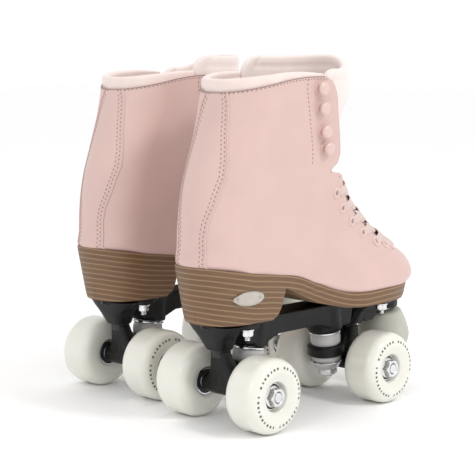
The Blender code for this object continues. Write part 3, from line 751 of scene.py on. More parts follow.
def boot(numbers, reach, depth=0.0, sunk=0.0):
    """Points of the boot at rib numbers and signed distances from the front line, negative inwards."""
    ribs = rib_rows(numbers, depth, sunk)
    reach = np.broadcast_to(reach, (len(ribs), np.shape(reach)[-1]))
    points = np.zeros(reach.shape + (3,))
    for inner in (True, False):
        wide, run = half_loops(ribs, inner)
        chosen = reach < 0 if inner else reach >= 0
        for row in range(len(ribs)):
            there = np.abs(reach[row, chosen[row]])
            share = np.interp(there, run[row], SHARES)
            points[row, chosen[row], 0] = np.interp(there, run[row], wide[row]) * (-1 if inner else 1)
            points[row, chosen[row], 1] = ribs[row, 0] + (ribs[row, 2] - ribs[row, 0]) * share
            points[row, chosen[row], 2] = ribs[row, 1] + (ribs[row, 3] - ribs[row, 1]) * share
    fade = np.clip(1 - np.asarray(numbers, float) / 2, 0, 1)[:, None]
    y = points[..., 1]
    hump = 5.0 * np.sin(pi * np.clip((y + 84) / 100, 0, 1)) - 9.0 * np.clip(y / 20, 0, 1) ** 2
    points[..., 2] += hump * fade
    return points


def loop_lengths(numbers, depth=0.0):
    """The whole length of each rib's inner and outer half."""
    ribs = rib_rows(numbers, depth)
    return half_loops(ribs, True)[1][:, -1], half_loops(ribs, False)[1][:, -1]


def half_length(numbers, sign):
    """The whole length of each rib's outer half, or of its inner half where the sign is negative."""
    return loop_lengths(numbers)[0 if sign < 0 else 1]


def back_seam_at(numbers, sign):
    """The back seam's distance from the front line, along the outer or the inner half."""
    return half_length(numbers, sign) - np.interp(numbers, BACK_SEAM_RIBS, BACK_SEAM)


def throat_at(numbers):
    """Half of the throat's opening: it closes in a round end and is nought beyond it."""
    numbers = np.asarray(numbers, float)
    wide = np.interp(numbers, THROAT_RIBS, THROAT)
    last = np.clip((numbers - THROAT_LAST) / (THROAT_END - THROAT_LAST), 0, 1)
    return np.where(numbers > THROAT_LAST, THROAT[-1] * np.sqrt(1 - last**2), wide)


def wrapped(numbers, inner_start, outer_start, u, depth=0.0):
    """Signed distances that run from the inner start round the back to the outer start.

    With u from -1 to 1 the distance is the half's whole length less (length - start) |u|.
    """
    inner, outer = loop_lengths(numbers, depth)
    u = u[None, :]
    inner_way = inner[:, None] - (inner - inner_start)[:, None] * np.abs(u)
    outer_way = outer[:, None] - (outer - outer_start)[:, None] * np.abs(u)
    return np.where(u < 0, -inner_way, outer_way)


def spots(numbers, reach, height=0.0, sunk=None):
    """Points above the upper, with their normals and the way across the boot.

    Where the front line is sunk, the points are on the surface drawn in with it.
    """
    numbers = np.asarray(numbers, float)
    reach = np.asarray(reach, float)

    def at(n, a):
        if sunk is None:
            return boot(n, a[:, None])[:, 0]
        return boot(n, a[:, None], 0.01, sunk)[:, 0]

    up = at(numbers - 0.06, reach) - at(numbers + 0.06, reach)
    over = at(numbers, reach + 0.6) - at(numbers, reach - 0.6)
    normal = np.cross(up, over)
    normal /= np.linalg.norm(normal, axis=1)[:, None]
    over /= np.linalg.norm(over, axis=1)[:, None]
    return at(numbers, reach) + normal * np.asarray(height)[..., None], normal, over


# ---------------------------------------------------------------- boot pieces


def add_upper(foot):
    """The leather upper, one wall with the throat and collar left open and the toe closed by a dome."""
    numbers = np.concatenate([
        np.linspace(0, 3.35, 34), np.linspace(3.4, 4.0, 16), np.linspace(4.08, THROAT_LAST, 62),
        THROAT_LAST + (THROAT_END - THROAT_LAST) * np.sin(np.linspace(0, pi / 2, 10)[1:]),
        np.linspace(THROAT_END + 0.08, 18, 66),
    ])
    throat = throat_at(numbers)
    points = boot(numbers, wrapped(numbers, throat, throat, np.linspace(-1, 1, UPPER_COLUMNS)))
    closed = np.clip((numbers - THROAT_END) / 0.8, 0, 1)[:, None, None]
    for _ in range(14):
        ring = points[:, :-1]
        near = (np.roll(ring, 1, axis=1) + np.roll(ring, -1, axis=1)) / 2
        ahead = (np.vstack([ring[:1], ring[:-1]]) + np.vstack([ring[1:], ring[-1:]])) / 2
        ring = ring + closed * ((near + ahead) / 2 - ring) * 0.6
        points = np.concatenate([ring, np.where(closed > 0, ring[:, :1], points[:, -1:])], axis=1)
    last = points[-1]
    centre = last[:-1].mean(axis=0)
    domes = [centre + (last - centre) * share + np.array([0, 0.93, -0.36]) * ahead
             for share, ahead in ((0.8, 0.7), (0.5, 1.2), (0.2, 1.45), (0.0, 1.5))]
    points = np.concatenate([points, np.array(domes)], axis=0)
    made = piece(f"{foot}_upper", sheet_of(points), SKIN["leather"], foot, None)
    facing_out(made, points.reshape(-1, 3).mean(axis=0), foot)
    applied(thickened(made, LEATHER))
    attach(made, f"{foot}_skate")
    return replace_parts(made, f"{foot}_boot_upper")


def facing_out(made, centre, foot):
    """Turns an open sheet's faces outwards if they look at its middle."""
    mesh = made.data
    middle_point = (np.asarray(centre) * (SIDES[foot], 1, 1) + ORIGINS[foot]) * MM
    places = np.zeros(len(mesh.polygons) * 3)
    normals = np.zeros(len(mesh.polygons) * 3)
    mesh.polygons.foreach_get("center", places)
    mesh.polygons.foreach_get("normal", normals)
    if ((places.reshape(-1, 3) - middle_point) * normals.reshape(-1, 3)).sum() < 0:
        mesh.flip_normals()


def pad(points, half):
    """A closed pad round a middle sheet: each point goes a half thickness to both sides."""
    lift = normals_of(points) * half[..., None]
    return sheet_of(np.concatenate([points + lift, (points - lift)[::-1]], axis=0), wrap_rows=True)


def eased(distance, width):
    """A quarter circle from 0 at a border to 1 at a width."""
    share = np.clip(distance / width, 0, 1)
    return np.sqrt(np.clip(share * (2 - share), 0, 1))


def border_steps(low, high, count, fine):
    """Places from low to high that crowd at both ends, where a border is rounded."""
    inside = np.linspace(low + fine, high - fine, count)
    edge = fine * (1 - np.cos(np.linspace(0, pi / 2, 6)))[:-1]
    return np.concatenate([low + edge, inside, (high - edge)[::-1]])


def add_lining(foot):
    """The padded collar lining: a pad inside the ankle whose edge swells above the leather.

    Its middle sheet follows the ribs at a depth that lessens above the collar's edge. The rise above the
    edge is greatest at the back.
    """
    down = border_steps(-LINING_RISE, LINING_END, 46, 2.4)
    numbers = np.interp(down, [-LINING_RISE, 0, 15, 34, 55, LINING_END], [0, 0, 1, 2, 3, 4.1])
    above = np.clip(-down, 0, None)
    depth = 4.3 + 2.0 * np.clip(down / LINING_RISE, 0, 1)
    outer_start = np.interp(numbers, [0, 1, 2, 3, 4.1], [66, 65, 63, 61, 59])
    inner_start = outer_start + np.interp(numbers, [0, 2.5], [24, 2])
    u = border_steps(-1, 1, 131, 0.018)
    points = boot(numbers, wrapped(numbers, inner_start, outer_start, u, depth), depth)
    share = np.clip((24 - points[..., 1]) / 106, 0.02, 1) ** 1.1
    points[..., 2] += above[:, None] * share
    swell = 2.8 + 0.7 * np.exp(-((down + 3.5) / 6.5) ** 2)
    rim = np.minimum(eased(down + LINING_RISE, 3.0), eased(LINING_END - down, 3.0))
    half = swell[:, None] * rim[:, None]
    half = half * eased((1 - np.abs(u))[None, :] * 105, 3.0)
    wave = 0.28 * np.sin(u * 31) * np.exp(-(down / 20)[:, None] ** 2)
    made = piece(f"{foot}_lining", pad(points, half + wave * (half > 1)), SKIN["lining"], foot,
                 f"{foot}_skate", [f"{foot}_collar_lining"], sharp=60)
    return made


def add_tongue(foot):
    """The padded tongue: a pad that wraps the shin, bends in at the ankle and runs under the vamp.

    Its middle sheet follows the ribs below the facings, its front line sunk towards the foot by the
    ankle. Below the ankle it bulges up into the throat by 1 - (reach / throat)^2. It swells between the
    seam near its edge and the middle.
    """
    down = border_steps(-TONGUE_RISE, TONGUE_END, 88, 2.6)
    numbers = np.interp(down, [-TONGUE_RISE, 0, 19, 40, 62, 82, 101, 119, 134, 145, TONGUE_END],
                        [0, 0, 1, 2, 3, 4, 5, 6, 7.2, 8.6, 9.8])
    above = np.clip(-down, 0, None)
    sunk = np.interp(numbers, TONGUE_SINK_RIBS, TONGUE_SINKS) + np.clip(-down / TONGUE_RISE, 0, 1)
    reach_out = np.interp(numbers, [0, 1, 2, 3, 4, 5, 6, 7, 8, 9, 9.8],
                          [64, 63, 60, 58, 52, 50, 45, 42, 40, 36, 31]) - np.clip(sunk, 0, None)
    reach_in = reach_out + np.interp(numbers, [0, 2.5], [25, 0]) - 20 * (1 - eased(down + TONGUE_RISE, 18))
    reach_out = reach_out - 14 * (1 - eased(down + TONGUE_RISE, 16))
    u = border_steps(-1, 1, 75, 0.04)
    reach = np.where(u[None, :] < 0, reach_in[:, None], reach_out[:, None]) * u[None, :]
    points = boot(numbers, reach, TONGUE_DEPTH, sunk)
    crown = np.clip(1 - (reach / np.maximum(throat_at(numbers), 1)[:, None]) ** 2, 0, 1)
    crown = crown * np.clip((numbers - 4.1) / 0.5, 0, 1)[:, None]
    raised = boot(numbers, reach, TONGUE_DEPTH - TONGUE_CROWN, sunk)
    points = points + (raised - points) * crown[..., None]
    fade = np.clip(1 - numbers / 3, 0, 1)[:, None]
    level = boot(numbers, np.full(reach.shape, 0.01), TONGUE_DEPTH, sunk)[..., 2]
    inner, outer = np.clip(points[..., 0], None, 0), np.clip(points[..., 0], 0, None)
    droop = level - 1.5 - 2.0 * (inner / 38) ** 2 - 11.0 * (outer / 31) ** 2
    points[..., 2] = points[..., 2] * (1 - fade) + droop * fade + above[:, None]
    side = (1 - np.abs(u))[None, :] * 62
    top = down[:, None] + TONGUE_RISE
    half = np.minimum(eased(top, 3.4), eased(TONGUE_END - down[:, None], 3.4)) * eased(side, 3.4)
    seam = (1 - 0.30 * np.exp(-((side - 8.5) / 1.1) ** 2)
            - 0.30 * np.exp(-((top - 8.5) / 1.1) ** 2) * (side > 8))
    folds = 1 + 0.05 * np.sin(down / 6.0)[:, None] * np.cos(u * 2.2)[None, :]
    made = piece(f"{foot}_padded_tongue", pad(points, TONGUE_HALF * half * seam * folds), SKIN["tongue"],
                 foot, f"{foot}_skate", [f"{foot}_tongue"], sharp=60)
    return made


def standing(shape, places, normals, overs):
    """Copies of a shape about Z, each stood on a place along its normal, as one shape."""
    copies = []
    for place, normal, over in zip(places, normals, overs):
        beside = np.cross(normal, over)
        beside = beside / np.linalg.norm(beside)
        along = np.cross(beside, normal)
        copies.append(shape.turned(np.stack([along, beside, normal], axis=1)).moved(place))
    return joined(*copies)


def add_hooks(foot):
    """The speed hooks: a base disc, a short neck and a domed head, four on each facing."""
    profile = [
        (0, -1.2), (4.6, -1.2), (4.75, 0.25), (4.5, 0.75), (2.5, 1.1), (2.0, 1.7), (2.0, 2.7), (2.6, 3.1),
        (4.2, 3.3), (4.7, 3.75), (4.75, 4.4), (4.4, 5.2), (3.6, 5.9), (2.4, 6.4), (1.2, 6.65), (0, 6.7),
    ]
    knob = lathe(np.array(profile) * (1.12, 1), 36, closed=False)
    both = np.concatenate([HOOK_REACH, -HOOK_REACH])
    places, normals, overs = spots(np.tile(HOOK_RIBS, 2), both)
    return piece(f"{foot}_hooks", standing(knob, places, normals, overs), SKIN["trim"], foot,
                 f"{foot}_skate", sharp=50)


def eyelet_reach(numbers):
    """The eyelets' distance from the front line."""
    return throat_at(numbers) + SET_BACK


def add_eyelets(foot):
    """The eyelets: flanged rings, their rims rolled, with a dark disc in each ring that is painted shade in
    the hole.
    """
    ring = lathe(rounded([(1.8, -1.6), (1.8, 0.6), (2.7, 1.15), (4.1, 0.8), (4.7, 0.0), (4.5, -0.5),
                          (2.7, -0.5), (2.6, -1.6)], 0.35), 36)
    # A dark disc that fills the eyelet's bore: painted shade in the hole
    hole = lathe([(0, -1.5), (2.25, -1.5), (2.25, 0.12), (0, 0.12)], 24, closed=False)
    both = np.concatenate([eyelet_reach(EYELET_RIBS), -eyelet_reach(EYELET_RIBS)])
    places, normals, overs = spots(np.tile(EYELET_RIBS, 2), both)
    piece(f"{foot}_eyelets", standing(ring, places, normals, overs), SKIN["trim"], foot, f"{foot}_skate",
          sharp=50)
    piece(f"{foot}_eyelet_hole_shade", standing(hole, places, normals, overs), SKIN["thread"], foot,
          f"{foot}_skate")


def ribbon(path, normals, width, thickness):
    """A flat band along a path: a rounded section, wide across the path and thin along the normal.

    The section is a superellipse (cos^0.55, sin^0.8), so its faces are flat and its edges round. The map's
    u is the running length and v the place across, both in millimetres.
    """
    ahead = np.gradient(path, axis=0)
    ahead /= np.linalg.norm(ahead, axis=1)[:, None]
    beside = np.cross(ahead, normals)
    beside /= np.linalg.norm(beside, axis=1)[:, None]
    above = np.cross(beside, ahead)
    corners = 18
    angle = np.linspace(0, 2 * pi, corners, endpoint=False)
    wide = np.sign(np.cos(angle)) * np.abs(np.cos(angle)) ** 0.55 * width / 2
    high = np.sign(np.sin(angle)) * np.abs(np.sin(angle)) ** 0.8 * thickness / 2
    points = (path[:, None] + beside[:, None] * wide[None, :, None]
              + above[:, None] * high[None, :, None])
    run = np.concatenate([[0], np.cumsum(np.linalg.norm(np.diff(path, axis=0), axis=1))])
    flat = np.stack(np.broadcast_arrays(run[:, None], wide[None, :]), axis=-1)
    return capped(sheet_of(points, wrap_columns=True, flat=flat), corners)


def lace_run(row, sign, hump):
    """One stretch of lace: out of an eyelet, up and across, and in under the other facing's edge.

    Height above the boot is the hump times sin^0.6, less a dive into the hole and one under the edge.
    """
    t = np.linspace(0, 1, LACE_STEPS)
    start = eyelet_reach(EYELET_RIBS[row])
    target = EYELET_RIBS[row - 1] if row else TUCK_RIB
    finish = throat_at(target) - 1.5
    number = EYELET_RIBS[row] + (target - EYELET_RIBS[row]) * t
    under = np.clip((t - 0.82) / 0.18, 0, 1)
    dive = 2.2 * np.exp(-t / 0.03)
    height = hump * np.sin(pi * t) ** 0.6 + LACE_LIFT - dive - 5.0 * under * under * (3 - 2 * under)
    return laid(number, sign * (start - (finish + start) * t), height, start)


def laid(number, reach, height, start):
    """A flat lace along a line on the boot, drawn back where it crosses the throat."""
    sunk = np.interp(number, LACE_SINK_RIBS, LACE_SINKS)
    places, normals, _ = spots(number, reach * (1 - sunk / start), height, sunk)
    smooth = normals.copy()
    for _ in range(6):
        smooth[1:-1] = (smooth[:-2] + smooth[1:-1] * 2 + smooth[2:]) / 4
    smooth /= np.linalg.norm(smooth, axis=1)[:, None]
    return ribbon(places, smooth, LACE_WIDTH, LACE_THICKNESS)


def add_laces(foot):
    """The lace, as the stretches that show: one straight across the bottom, and crossings up to the top."""
    t = np.linspace(0, 1, LACE_STEPS)
    start = eyelet_reach(EYELET_RIBS[-1])
    dives = 2.2 * np.exp(-t / 0.03) + 2.2 * np.exp(-(1 - t) / 0.03)
    height = 0.3 * np.sin(pi * t) ** 0.6 + LACE_LIFT - dives
    runs = [laid(np.full(LACE_STEPS, EYELET_RIBS[-1]), start - 2 * start * t, height, start)]
    for row in range(len(EYELET_RIBS)):
        first = 1 if row % 2 else -1
        runs += [lace_run(row, first, 0.2), lace_run(row, -first, 1.4)]
    return piece(f"{foot}_laces", joined(*runs), SKIN["lace"], foot, f"{foot}_skate",
                 [f"{foot}_lace"], sharp=60)


def stitch_row(places, normals, shift=0.0):
    """Sewn stitches along a line: spindles with round ends, laid low on the surface at even distances."""
    run = np.concatenate([[0], np.cumsum(np.linalg.norm(np.diff(places, axis=0), axis=1))])
    count = int(run[-1] / STITCH_PITCH) - 1
    middles = (np.arange(count) + 0.5 + shift) * STITCH_PITCH
    rings, corners = 5, 6
    turns = np.linspace(0, 2 * pi, corners, endpoint=False)
    along = np.array([-0.5, -0.38, 0, 0.38, 0.5]) * STITCH_LENGTH
    girth = np.array([0.2, 0.85, 1.0, 0.85, 0.2]) * STITCH_RADIUS

    def read(values, at):
        return np.stack([np.interp(at, run, values[:, k]) for k in range(3)], axis=1)

    spot, out = read(places, middles), read(normals, middles)
    out /= np.linalg.norm(out, axis=1)[:, None]
    ahead = read(places, middles + 0.5) - read(places, middles - 0.5)
    ahead /= np.linalg.norm(ahead, axis=1)[:, None]
    beside = np.cross(out, ahead)
    points = (spot[:, None, None] + ahead[:, None, None] * along[None, :, None, None]
              + beside[:, None, None] * (girth[:, None] * np.cos(turns))[None, :, :, None]
              + out[:, None, None] * (girth[:, None] * np.sin(turns) + 0.05)[None, :, :, None])
    first = (np.arange(count) * rings * corners)[:, None, None]
    caps = np.array([np.arange(corners)[::-1], (rings - 1) * corners + np.arange(corners)])
    return Shape(points, [(grid_quads(rings, corners, wrap_columns=True)[None] + first).reshape(-1, 4),
                          (caps[None] + first).reshape(-1, corners)])


def add_stitching(foot):
    """Every row of stitches on the upper: collar edge, facings, back seams and the tab by the notch."""
    rows = []

    def along(numbers, reach, shift=0.0):
        places, normals, _ = spots(numbers, reach)
        rows.append(stitch_row(places, normals, shift))

    for sign in (1, -1):
        numbers = np.linspace(0.05, 3.7, 50)
        along(numbers, sign * np.interp(numbers, FACING_SEAM_RIBS, FACING_SEAM))
        tab = np.linspace(0, 1, 6)
        along(3.98 + tab * 0.02, sign * (46 + tab * 9))
        edge = np.linspace(70, half_length([1.0], sign)[0] - 1, 60)
        along(np.full(60, 0.13), sign * edge)
        back = np.linspace(0.25, 7.0, 80)
        for gap in (0.0, ROW_GAP):
            along(back, sign * (back_seam_at(back, sign) + gap), gap / (2 * ROW_GAP))
    # The thread is dark pink, partly its own colour and partly painted shade in the needle holes
    return piece(f"{foot}_stitches", joined(*rows), SKIN["thread"], foot, f"{foot}_skate",
                 sharp=70)


def add_back_seam(foot):
    """The folded edge of the back panel down each side, in front of its rows, and a dark line of painted
    shade along the collar's edge.
    """
    beads, edge_shade_lines = [], []
    numbers = np.linspace(0.05, 7.4, 120)
    for sign in (1, -1):
        places, normals, _ = spots(numbers, sign * (back_seam_at(numbers, sign) - 2.4), 0.2)
        beads.append(ribbon(places, normals, 1.4, 1.0))
        # A thin dark band sunk into the collar's edge: painted shade where the lining meets the leather
        rim = np.linspace(74, half_length([0.03], sign)[0], 90)
        places, normals, _ = spots(np.full(90, 0.03), sign * rim, -0.3)
        edge_shade_lines.append(ribbon(places, normals, 0.9, 1.0))
    piece(f"{foot}_collar_edge_shade_line", joined(*edge_shade_lines), SKIN["thread"], foot, f"{foot}_skate",
          sharp=70)
    return piece(f"{foot}_back_panel_edge", joined(*beads), SKIN["leather"], foot, f"{foot}_skate",
                 sharp=70)


def sole_section(y, depth=0.0):
    """Half widths, centre and heights of the sole at y; squared widths are blended, so its ends are round."""
    plan = np.array(SOLE_PLAN, float)
    half = np.sqrt(np.maximum(curve_through([(p[0], ((p[1] + p[2]) / 2) ** 2) for p in plan], y, 1), 0.04))
    centre = curve_through([(p[0], (p[1] - p[2]) / 2) for p in plan], y, 1)
    top = curve_through(SOLE_TOP, y, 1) + SOLE_OVERLAP
    bottom = np.interp(y, [p[0] for p in SOLE_BOTTOM], [p[1] for p in SOLE_BOTTOM])
    return half - depth, centre, top, bottom


def add_sole(foot):
    """The heel, shank and forefoot as one block with softened edges.

    Each section across is a loop: over the top, down the outer side, which leans in by a share of its
    height, under the bottom and up the inner side. The heel's back and the toe's tip lean in as well.
    """
    ends = 1 - np.cos(np.linspace(0, pi / 2, 26))
    y = np.concatenate([
        -111.9 + 14 * ends[:-1], np.linspace(-97.9, -52, 24), np.linspace(-50, -36, 34),
        np.linspace(-35, 124, 90), 124 + 19.4 * np.sin(np.linspace(0, pi / 2, 26))[1:],
    ])
    half, centre, top, bottom = sole_section(y)
    sides = np.linspace(0, 1, 15)
    soft = 0.4 * np.exp(-sides / 0.04) + 0.8 * np.exp(-(1 - sides) / 0.05)
    lean = (top - bottom)[:, None] * SIDE_TAPER * sides[None, :] + soft[None, :]
    across_top = np.linspace(-1, 1, 11)[1:-1]
    wide = np.maximum(half[:, None] - lean, 0.02)
    high = top[:, None] + (bottom - top)[:, None] * sides[None, :]
    x = np.concatenate([
        wide[:, :1] * across_top, wide, wide[:, -1:] * across_top[::-1], -wide[:, ::-1],
    ], axis=1)
    count = len(across_top)
    z = np.concatenate([
        np.repeat(top[:, None], count, axis=1), high,
        np.repeat(bottom[:, None], count, axis=1), high[:, ::-1],
    ], axis=1)
    drop = top[:, None] - z
    heel_lean, toe_lean = (HEEL_LEAN_FROM - y) * HEEL_LEAN, -(y - TOE_LEAN_FROM) * TOE_LEAN
    level = np.where(y < HEEL_LEAN_FROM, heel_lean, np.where(y > TOE_LEAN_FROM, toe_lean, 0))[:, None]
    place = y[:, None] + level * drop / np.maximum(top - bottom, 1)[:, None]
    points = np.stack([x + centre[:, None], place, z], axis=-1)
    body = sheet_of(points, wrap_columns=True, flat=np.stack([place, drop], axis=-1))
    return piece(f"{foot}_layered_sole", capped(body, points.shape[1]), SKIN["sole"], foot,
                 f"{foot}_skate", [f"{foot}_sole"], sharp=42)


def add_badge(foot):
    """The heel badge: a plain oval plate with a raised rim and two pins, curved with the heel's side.

    A point (a, b, h) of the flat plate goes to y = middle + a, z = middle + b and x = heel side + h.
    """
    rings = [(1.0, -1.5), (1.0, 0.5), (0.975, 1.0), (0.93, 1.15), (0.88, 1.0), (0.85, 0.7), (0.4, 0.82),
             (0.0, 0.86)]
    plate = lathe(rings, 72, closed=False)
    plate.points = plate.points * (*BADGE_HALF, 1)
    pins = [lathe([(1.1, 0.2), (1.1, 1.1), (0.8, 1.45), (0, 1.6)], 20, closed=False).moved((a, 0, 0))
            for a in (-10.6, 10.6)]
    badge = joined(plate, *pins)
    along, up, out = badge.points.T
    y, z = BADGE_Y + along, BADGE_Z + up
    half, centre, top, _ = sole_section(y)
    badge.points = np.stack([centre + half - SIDE_TAPER * (top - z) + out, y, z], axis=1)
    return piece(f"{foot}_heel_badge", badge, SKIN["badge"], foot, f"{foot}_skate", sharp=30)


def add_footbed(foot):
    """The footbed: a soft board inside the boot, just above its bottom, cupped along its edge."""
    y = np.linspace(FOOTBED_BACK, FOOTBED_TIP, 90)
    half, centre, top, _ = sole_section(y, 5.5)
    ends = np.minimum(eased(y - FOOTBED_BACK, 22), eased(FOOTBED_TIP - y, 26))
    half = np.maximum(half, 4) * np.maximum(ends, 0.02)
    u = np.linspace(-1, 1, 33)
    x = centre[:, None] + half[:, None] * u[None, :]
    z = top[:, None] + 4.6 + 1.4 * np.abs(u[None, :]) ** 4
    points = np.stack(np.broadcast_arrays(x, y[:, None], z), axis=-1)
    thick = 1.3 * eased((1 - np.abs(u))[None, :] * 30, 1.5) * np.clip(ends, 0, 1)[:, None]
    return piece(f"{foot}_footbed", pad(points, thick), SKIN["lining"], foot, f"{foot}_skate",
                 sharp=60)


# ---------------------------------------------------------------- plate, trucks and wheels


def fused(name, shapes, voxel, finish, foot, body, replaces=()):
    """Overlapping closed shapes made one casting: a voxel skin, smoothed so that its corners are round."""
    made = piece(name, joined(*shapes), finish, foot, None)
    skin = made.modifiers.new("skin", "REMESH")
    skin.mode = "VOXEL"
    skin.voxel_size = voxel * MM * 1.0
    skin.use_smooth_shade = True
    softened = made.modifiers.new("softened", "SMOOTH")
    softened.factor = 0.5
    softened.iterations = 5
    applied(made)
    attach(made, body)
    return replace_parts(made, *replaces)


def on_kingpin(shape, end):
    """A shape about the kingpin, its heights counted from the middle of the hanger's ring."""
    return shape.leant(RING_Y, RING_Z, LEAN).ended(end)


def prism(outline, low, high):
    """An outline of (x, y) points pulled from one height to another."""
    upright = slab(outline, (high - low) / 2)
    return upright.turned([[0, 1, 0], [0, 0, 1], [1, 0, 0]]).moved((0, 0, (low + high) / 2))


def lofted(sections):
    """A closed form through level sections (z, y, half width, half depth), each a superellipse."""
    corners = 40
    angle = np.linspace(0, 2 * pi, corners, endpoint=False)
    wide = np.sign(np.cos(angle)) * np.abs(np.cos(angle)) ** 0.6
    deep = np.sign(np.sin(angle)) * np.abs(np.sin(angle)) ** 0.6
    points = np.array([
        np.stack([w * wide, y + d * deep, np.full(corners, z)], axis=1) for z, y, w, d in sections
    ])
    return capped(sheet_of(points, wrap_columns=True), corners)


def add_plate(foot):
    """The chassis: flanges under the sole, a spine, kingpin bosses with webs, pivot seats and a nose."""
    half = [
        (12, -90), (20, -80), (28, -76), (28.5, -65), (24, -59), (16, -48), (13.5, -35), (13.5, 30),
        (15, 50), (18, 75), (24, 82), (28.5, 86), (28.5, 97), (24, 101), (17, 104), (15, 118), (12, 127),
        (6, 132),
    ]
    flange = prism([(0, -96)] + half + [(0, 133)] + [(-x, y) for x, y in half[::-1]], FLANGE_LOW, PLATE_TOP)
    spine = [(-66, 78), (-62, 62), (-35, 61.5), (-25, 65.5), (25, 65.5), (35, 61.5), (62, 61.5), (66, 78)]
    bridge = [(84, 60.5), (95, 60.5), (101, 68.4), (116, 68.4), (116, 78), (84, 78)]
    nose = lathe([(0, NOSE_LOW), (14.2, NOSE_LOW), (15, 69), (15, 79), (0, 79)], closed=False)
    shapes = [flange, slab(spine, SPINE_HALF), slab(bridge, BRIDGE_HALF), nose.moved((0, STEM_Y, 0))]
    for end in ENDS.values():
        boss = lathe([(0, BOSS_LOW), (13.6, BOSS_LOW), (BOSS_RADIUS, 17.8), (BOSS_RADIUS, 36.5), (0, 36.5)],
                     closed=False)
        seat = lofted([(58.6, 77.4, 8.6, 8.2), (61, 78, 10, 9.2), (69, 80, 14.5, 11), (74, 81, 20, 11.5),
                       (79.5, 82, 25, 12)])
        shapes += [on_kingpin(boss, end), seat.ended(end)]
    return fused(f"{foot}_chassis", shapes, PLATE_VOXEL, SKIN["alloy"], foot, f"{foot}_skate",
                 [f"{foot}_plate"])


def add_mounting_bolts(foot):
    """Four bolts through the sole: a washer, a nut and the end of the thread, under the flange."""
    nut = hexagon(4.6, FLANGE_LOW - 5.2, FLANGE_LOW - 1.0, 2.5)
    washer = lathe(rounded([(2.6, -1.1), (5.4, -1.1), (5.4, 0.2), (2.6, 0.2)], 0.3))
    thread = threaded(2.5, FLANGE_LOW - 8.5, FLANGE_LOW, 0.8, 0.3, 28)
    parts = (nut, washer.moved((0, 0, FLANGE_LOW)), thread)
    shapes = [part.moved((x, y, 0)) for x in BOLTS_X for y in BOLTS_Y for part in parts]
    return piece(f"{foot}_mounting_bolts", joined(*shapes), SKIN["steel"], foot, f"{foot}_skate",
                 sharp=30)


def add_truck(foot, end_name):
    """The hanger: an axle housing, a leaning arm with its pivot pin, and the ring between the cushions."""
    end = ENDS[end_name]
    body = f"{foot}_{end_name}_truck"
    tube = [(0, -HOUSING_HALF), (6.2, -HOUSING_HALF), (6.9, -21.4), (7.6, -14), (7.6, 14), (6.9, 21.4),
            (6.2, HOUSING_HALF), (0, HOUSING_HALF)]
    housing = across(lathe(tube, closed=False)).moved((0, HALF_BASE, WHEEL_RADIUS))
    web = [(55.2, 45.2), (55.2, 39.6), (61.3, 39.8), (63.4, 36), (66.5, 22.6), (75, 25), (76, 33), (66, 40.5)]
    arm = lathe([(0, 0), (9.5, 0), (5.4, 25.5), (4.6, 27), (4.6, 33.6), (3.4, 34.6), (0, 34.6)], 40,
                closed=False)
    ring = lathe(rounded([(RING_BORE, -RING_HALF), (RING_RADIUS, -RING_HALF), (RING_RADIUS, RING_HALF),
                          (RING_BORE, RING_HALF)], 1.0))
    flare = lofted([(27, 69.5, 21, 6.4), (31, 69.8, 20.5, 6.8), (36, 70.5, 16.5, 6.9), (44, 72.6, 11.5, 6.6),
                    (52, 75, 8.8, 6.0), (57.4, 76.4, 7.6, 5.6)])
    shapes = [housing.ended(end), slab(web, 9).ended(end), flare.ended(end),
              arm.leant(ARM_Y, ARM_Z, -ARM_LEAN).ended(end), on_kingpin(ring, end)]
    fused(f"{body}_hanger", shapes, HANGER_VOXEL, SKIN["alloy"], foot, body, [body])
    rod = lathe([(0, -37), (3.95, -37), (3.95, 37), (0, 37)], 40, closed=False)
    tip = threaded(4.0, 36.5, AXLE_HALF, 1.0, THREAD_DEPTH)
    axle = joined(rod, tip, tip.turned(np.diag([1, -1, -1])))
    piece(f"{body}_axle", across(axle).moved((0, end * HALF_BASE, WHEEL_RADIUS)), SKIN["steel"], foot, body,
          [f"{foot}_{end_name}_axle"], sharp=30)
    for flank_name, flank in FLANKS.items():
        nut = across(hexagon(7.5, 9.35, 15.5, 4.4, 8.2)).turned(np.diag([flank, 1, 1]))
        nut = nut.moved((flank * HALF_TRACK, end * HALF_BASE, WHEEL_RADIUS))
        piece(f"{foot}_{end_name}_{flank_name}_axle_nut", nut, SKIN["steel"], foot, body,
              [f"{foot}_{end_name}_{flank_name}_nut"], sharp=28)


def kingpin_point(foot, end, height):
    """A point on the kingpin's line, in the frame's metres."""
    y, z = RING_Y - height * sin(LEAN), RING_Z + height * cos(LEAN)
    return tuple((np.array([0, end * y, z]) + ORIGINS[foot]) * MM)


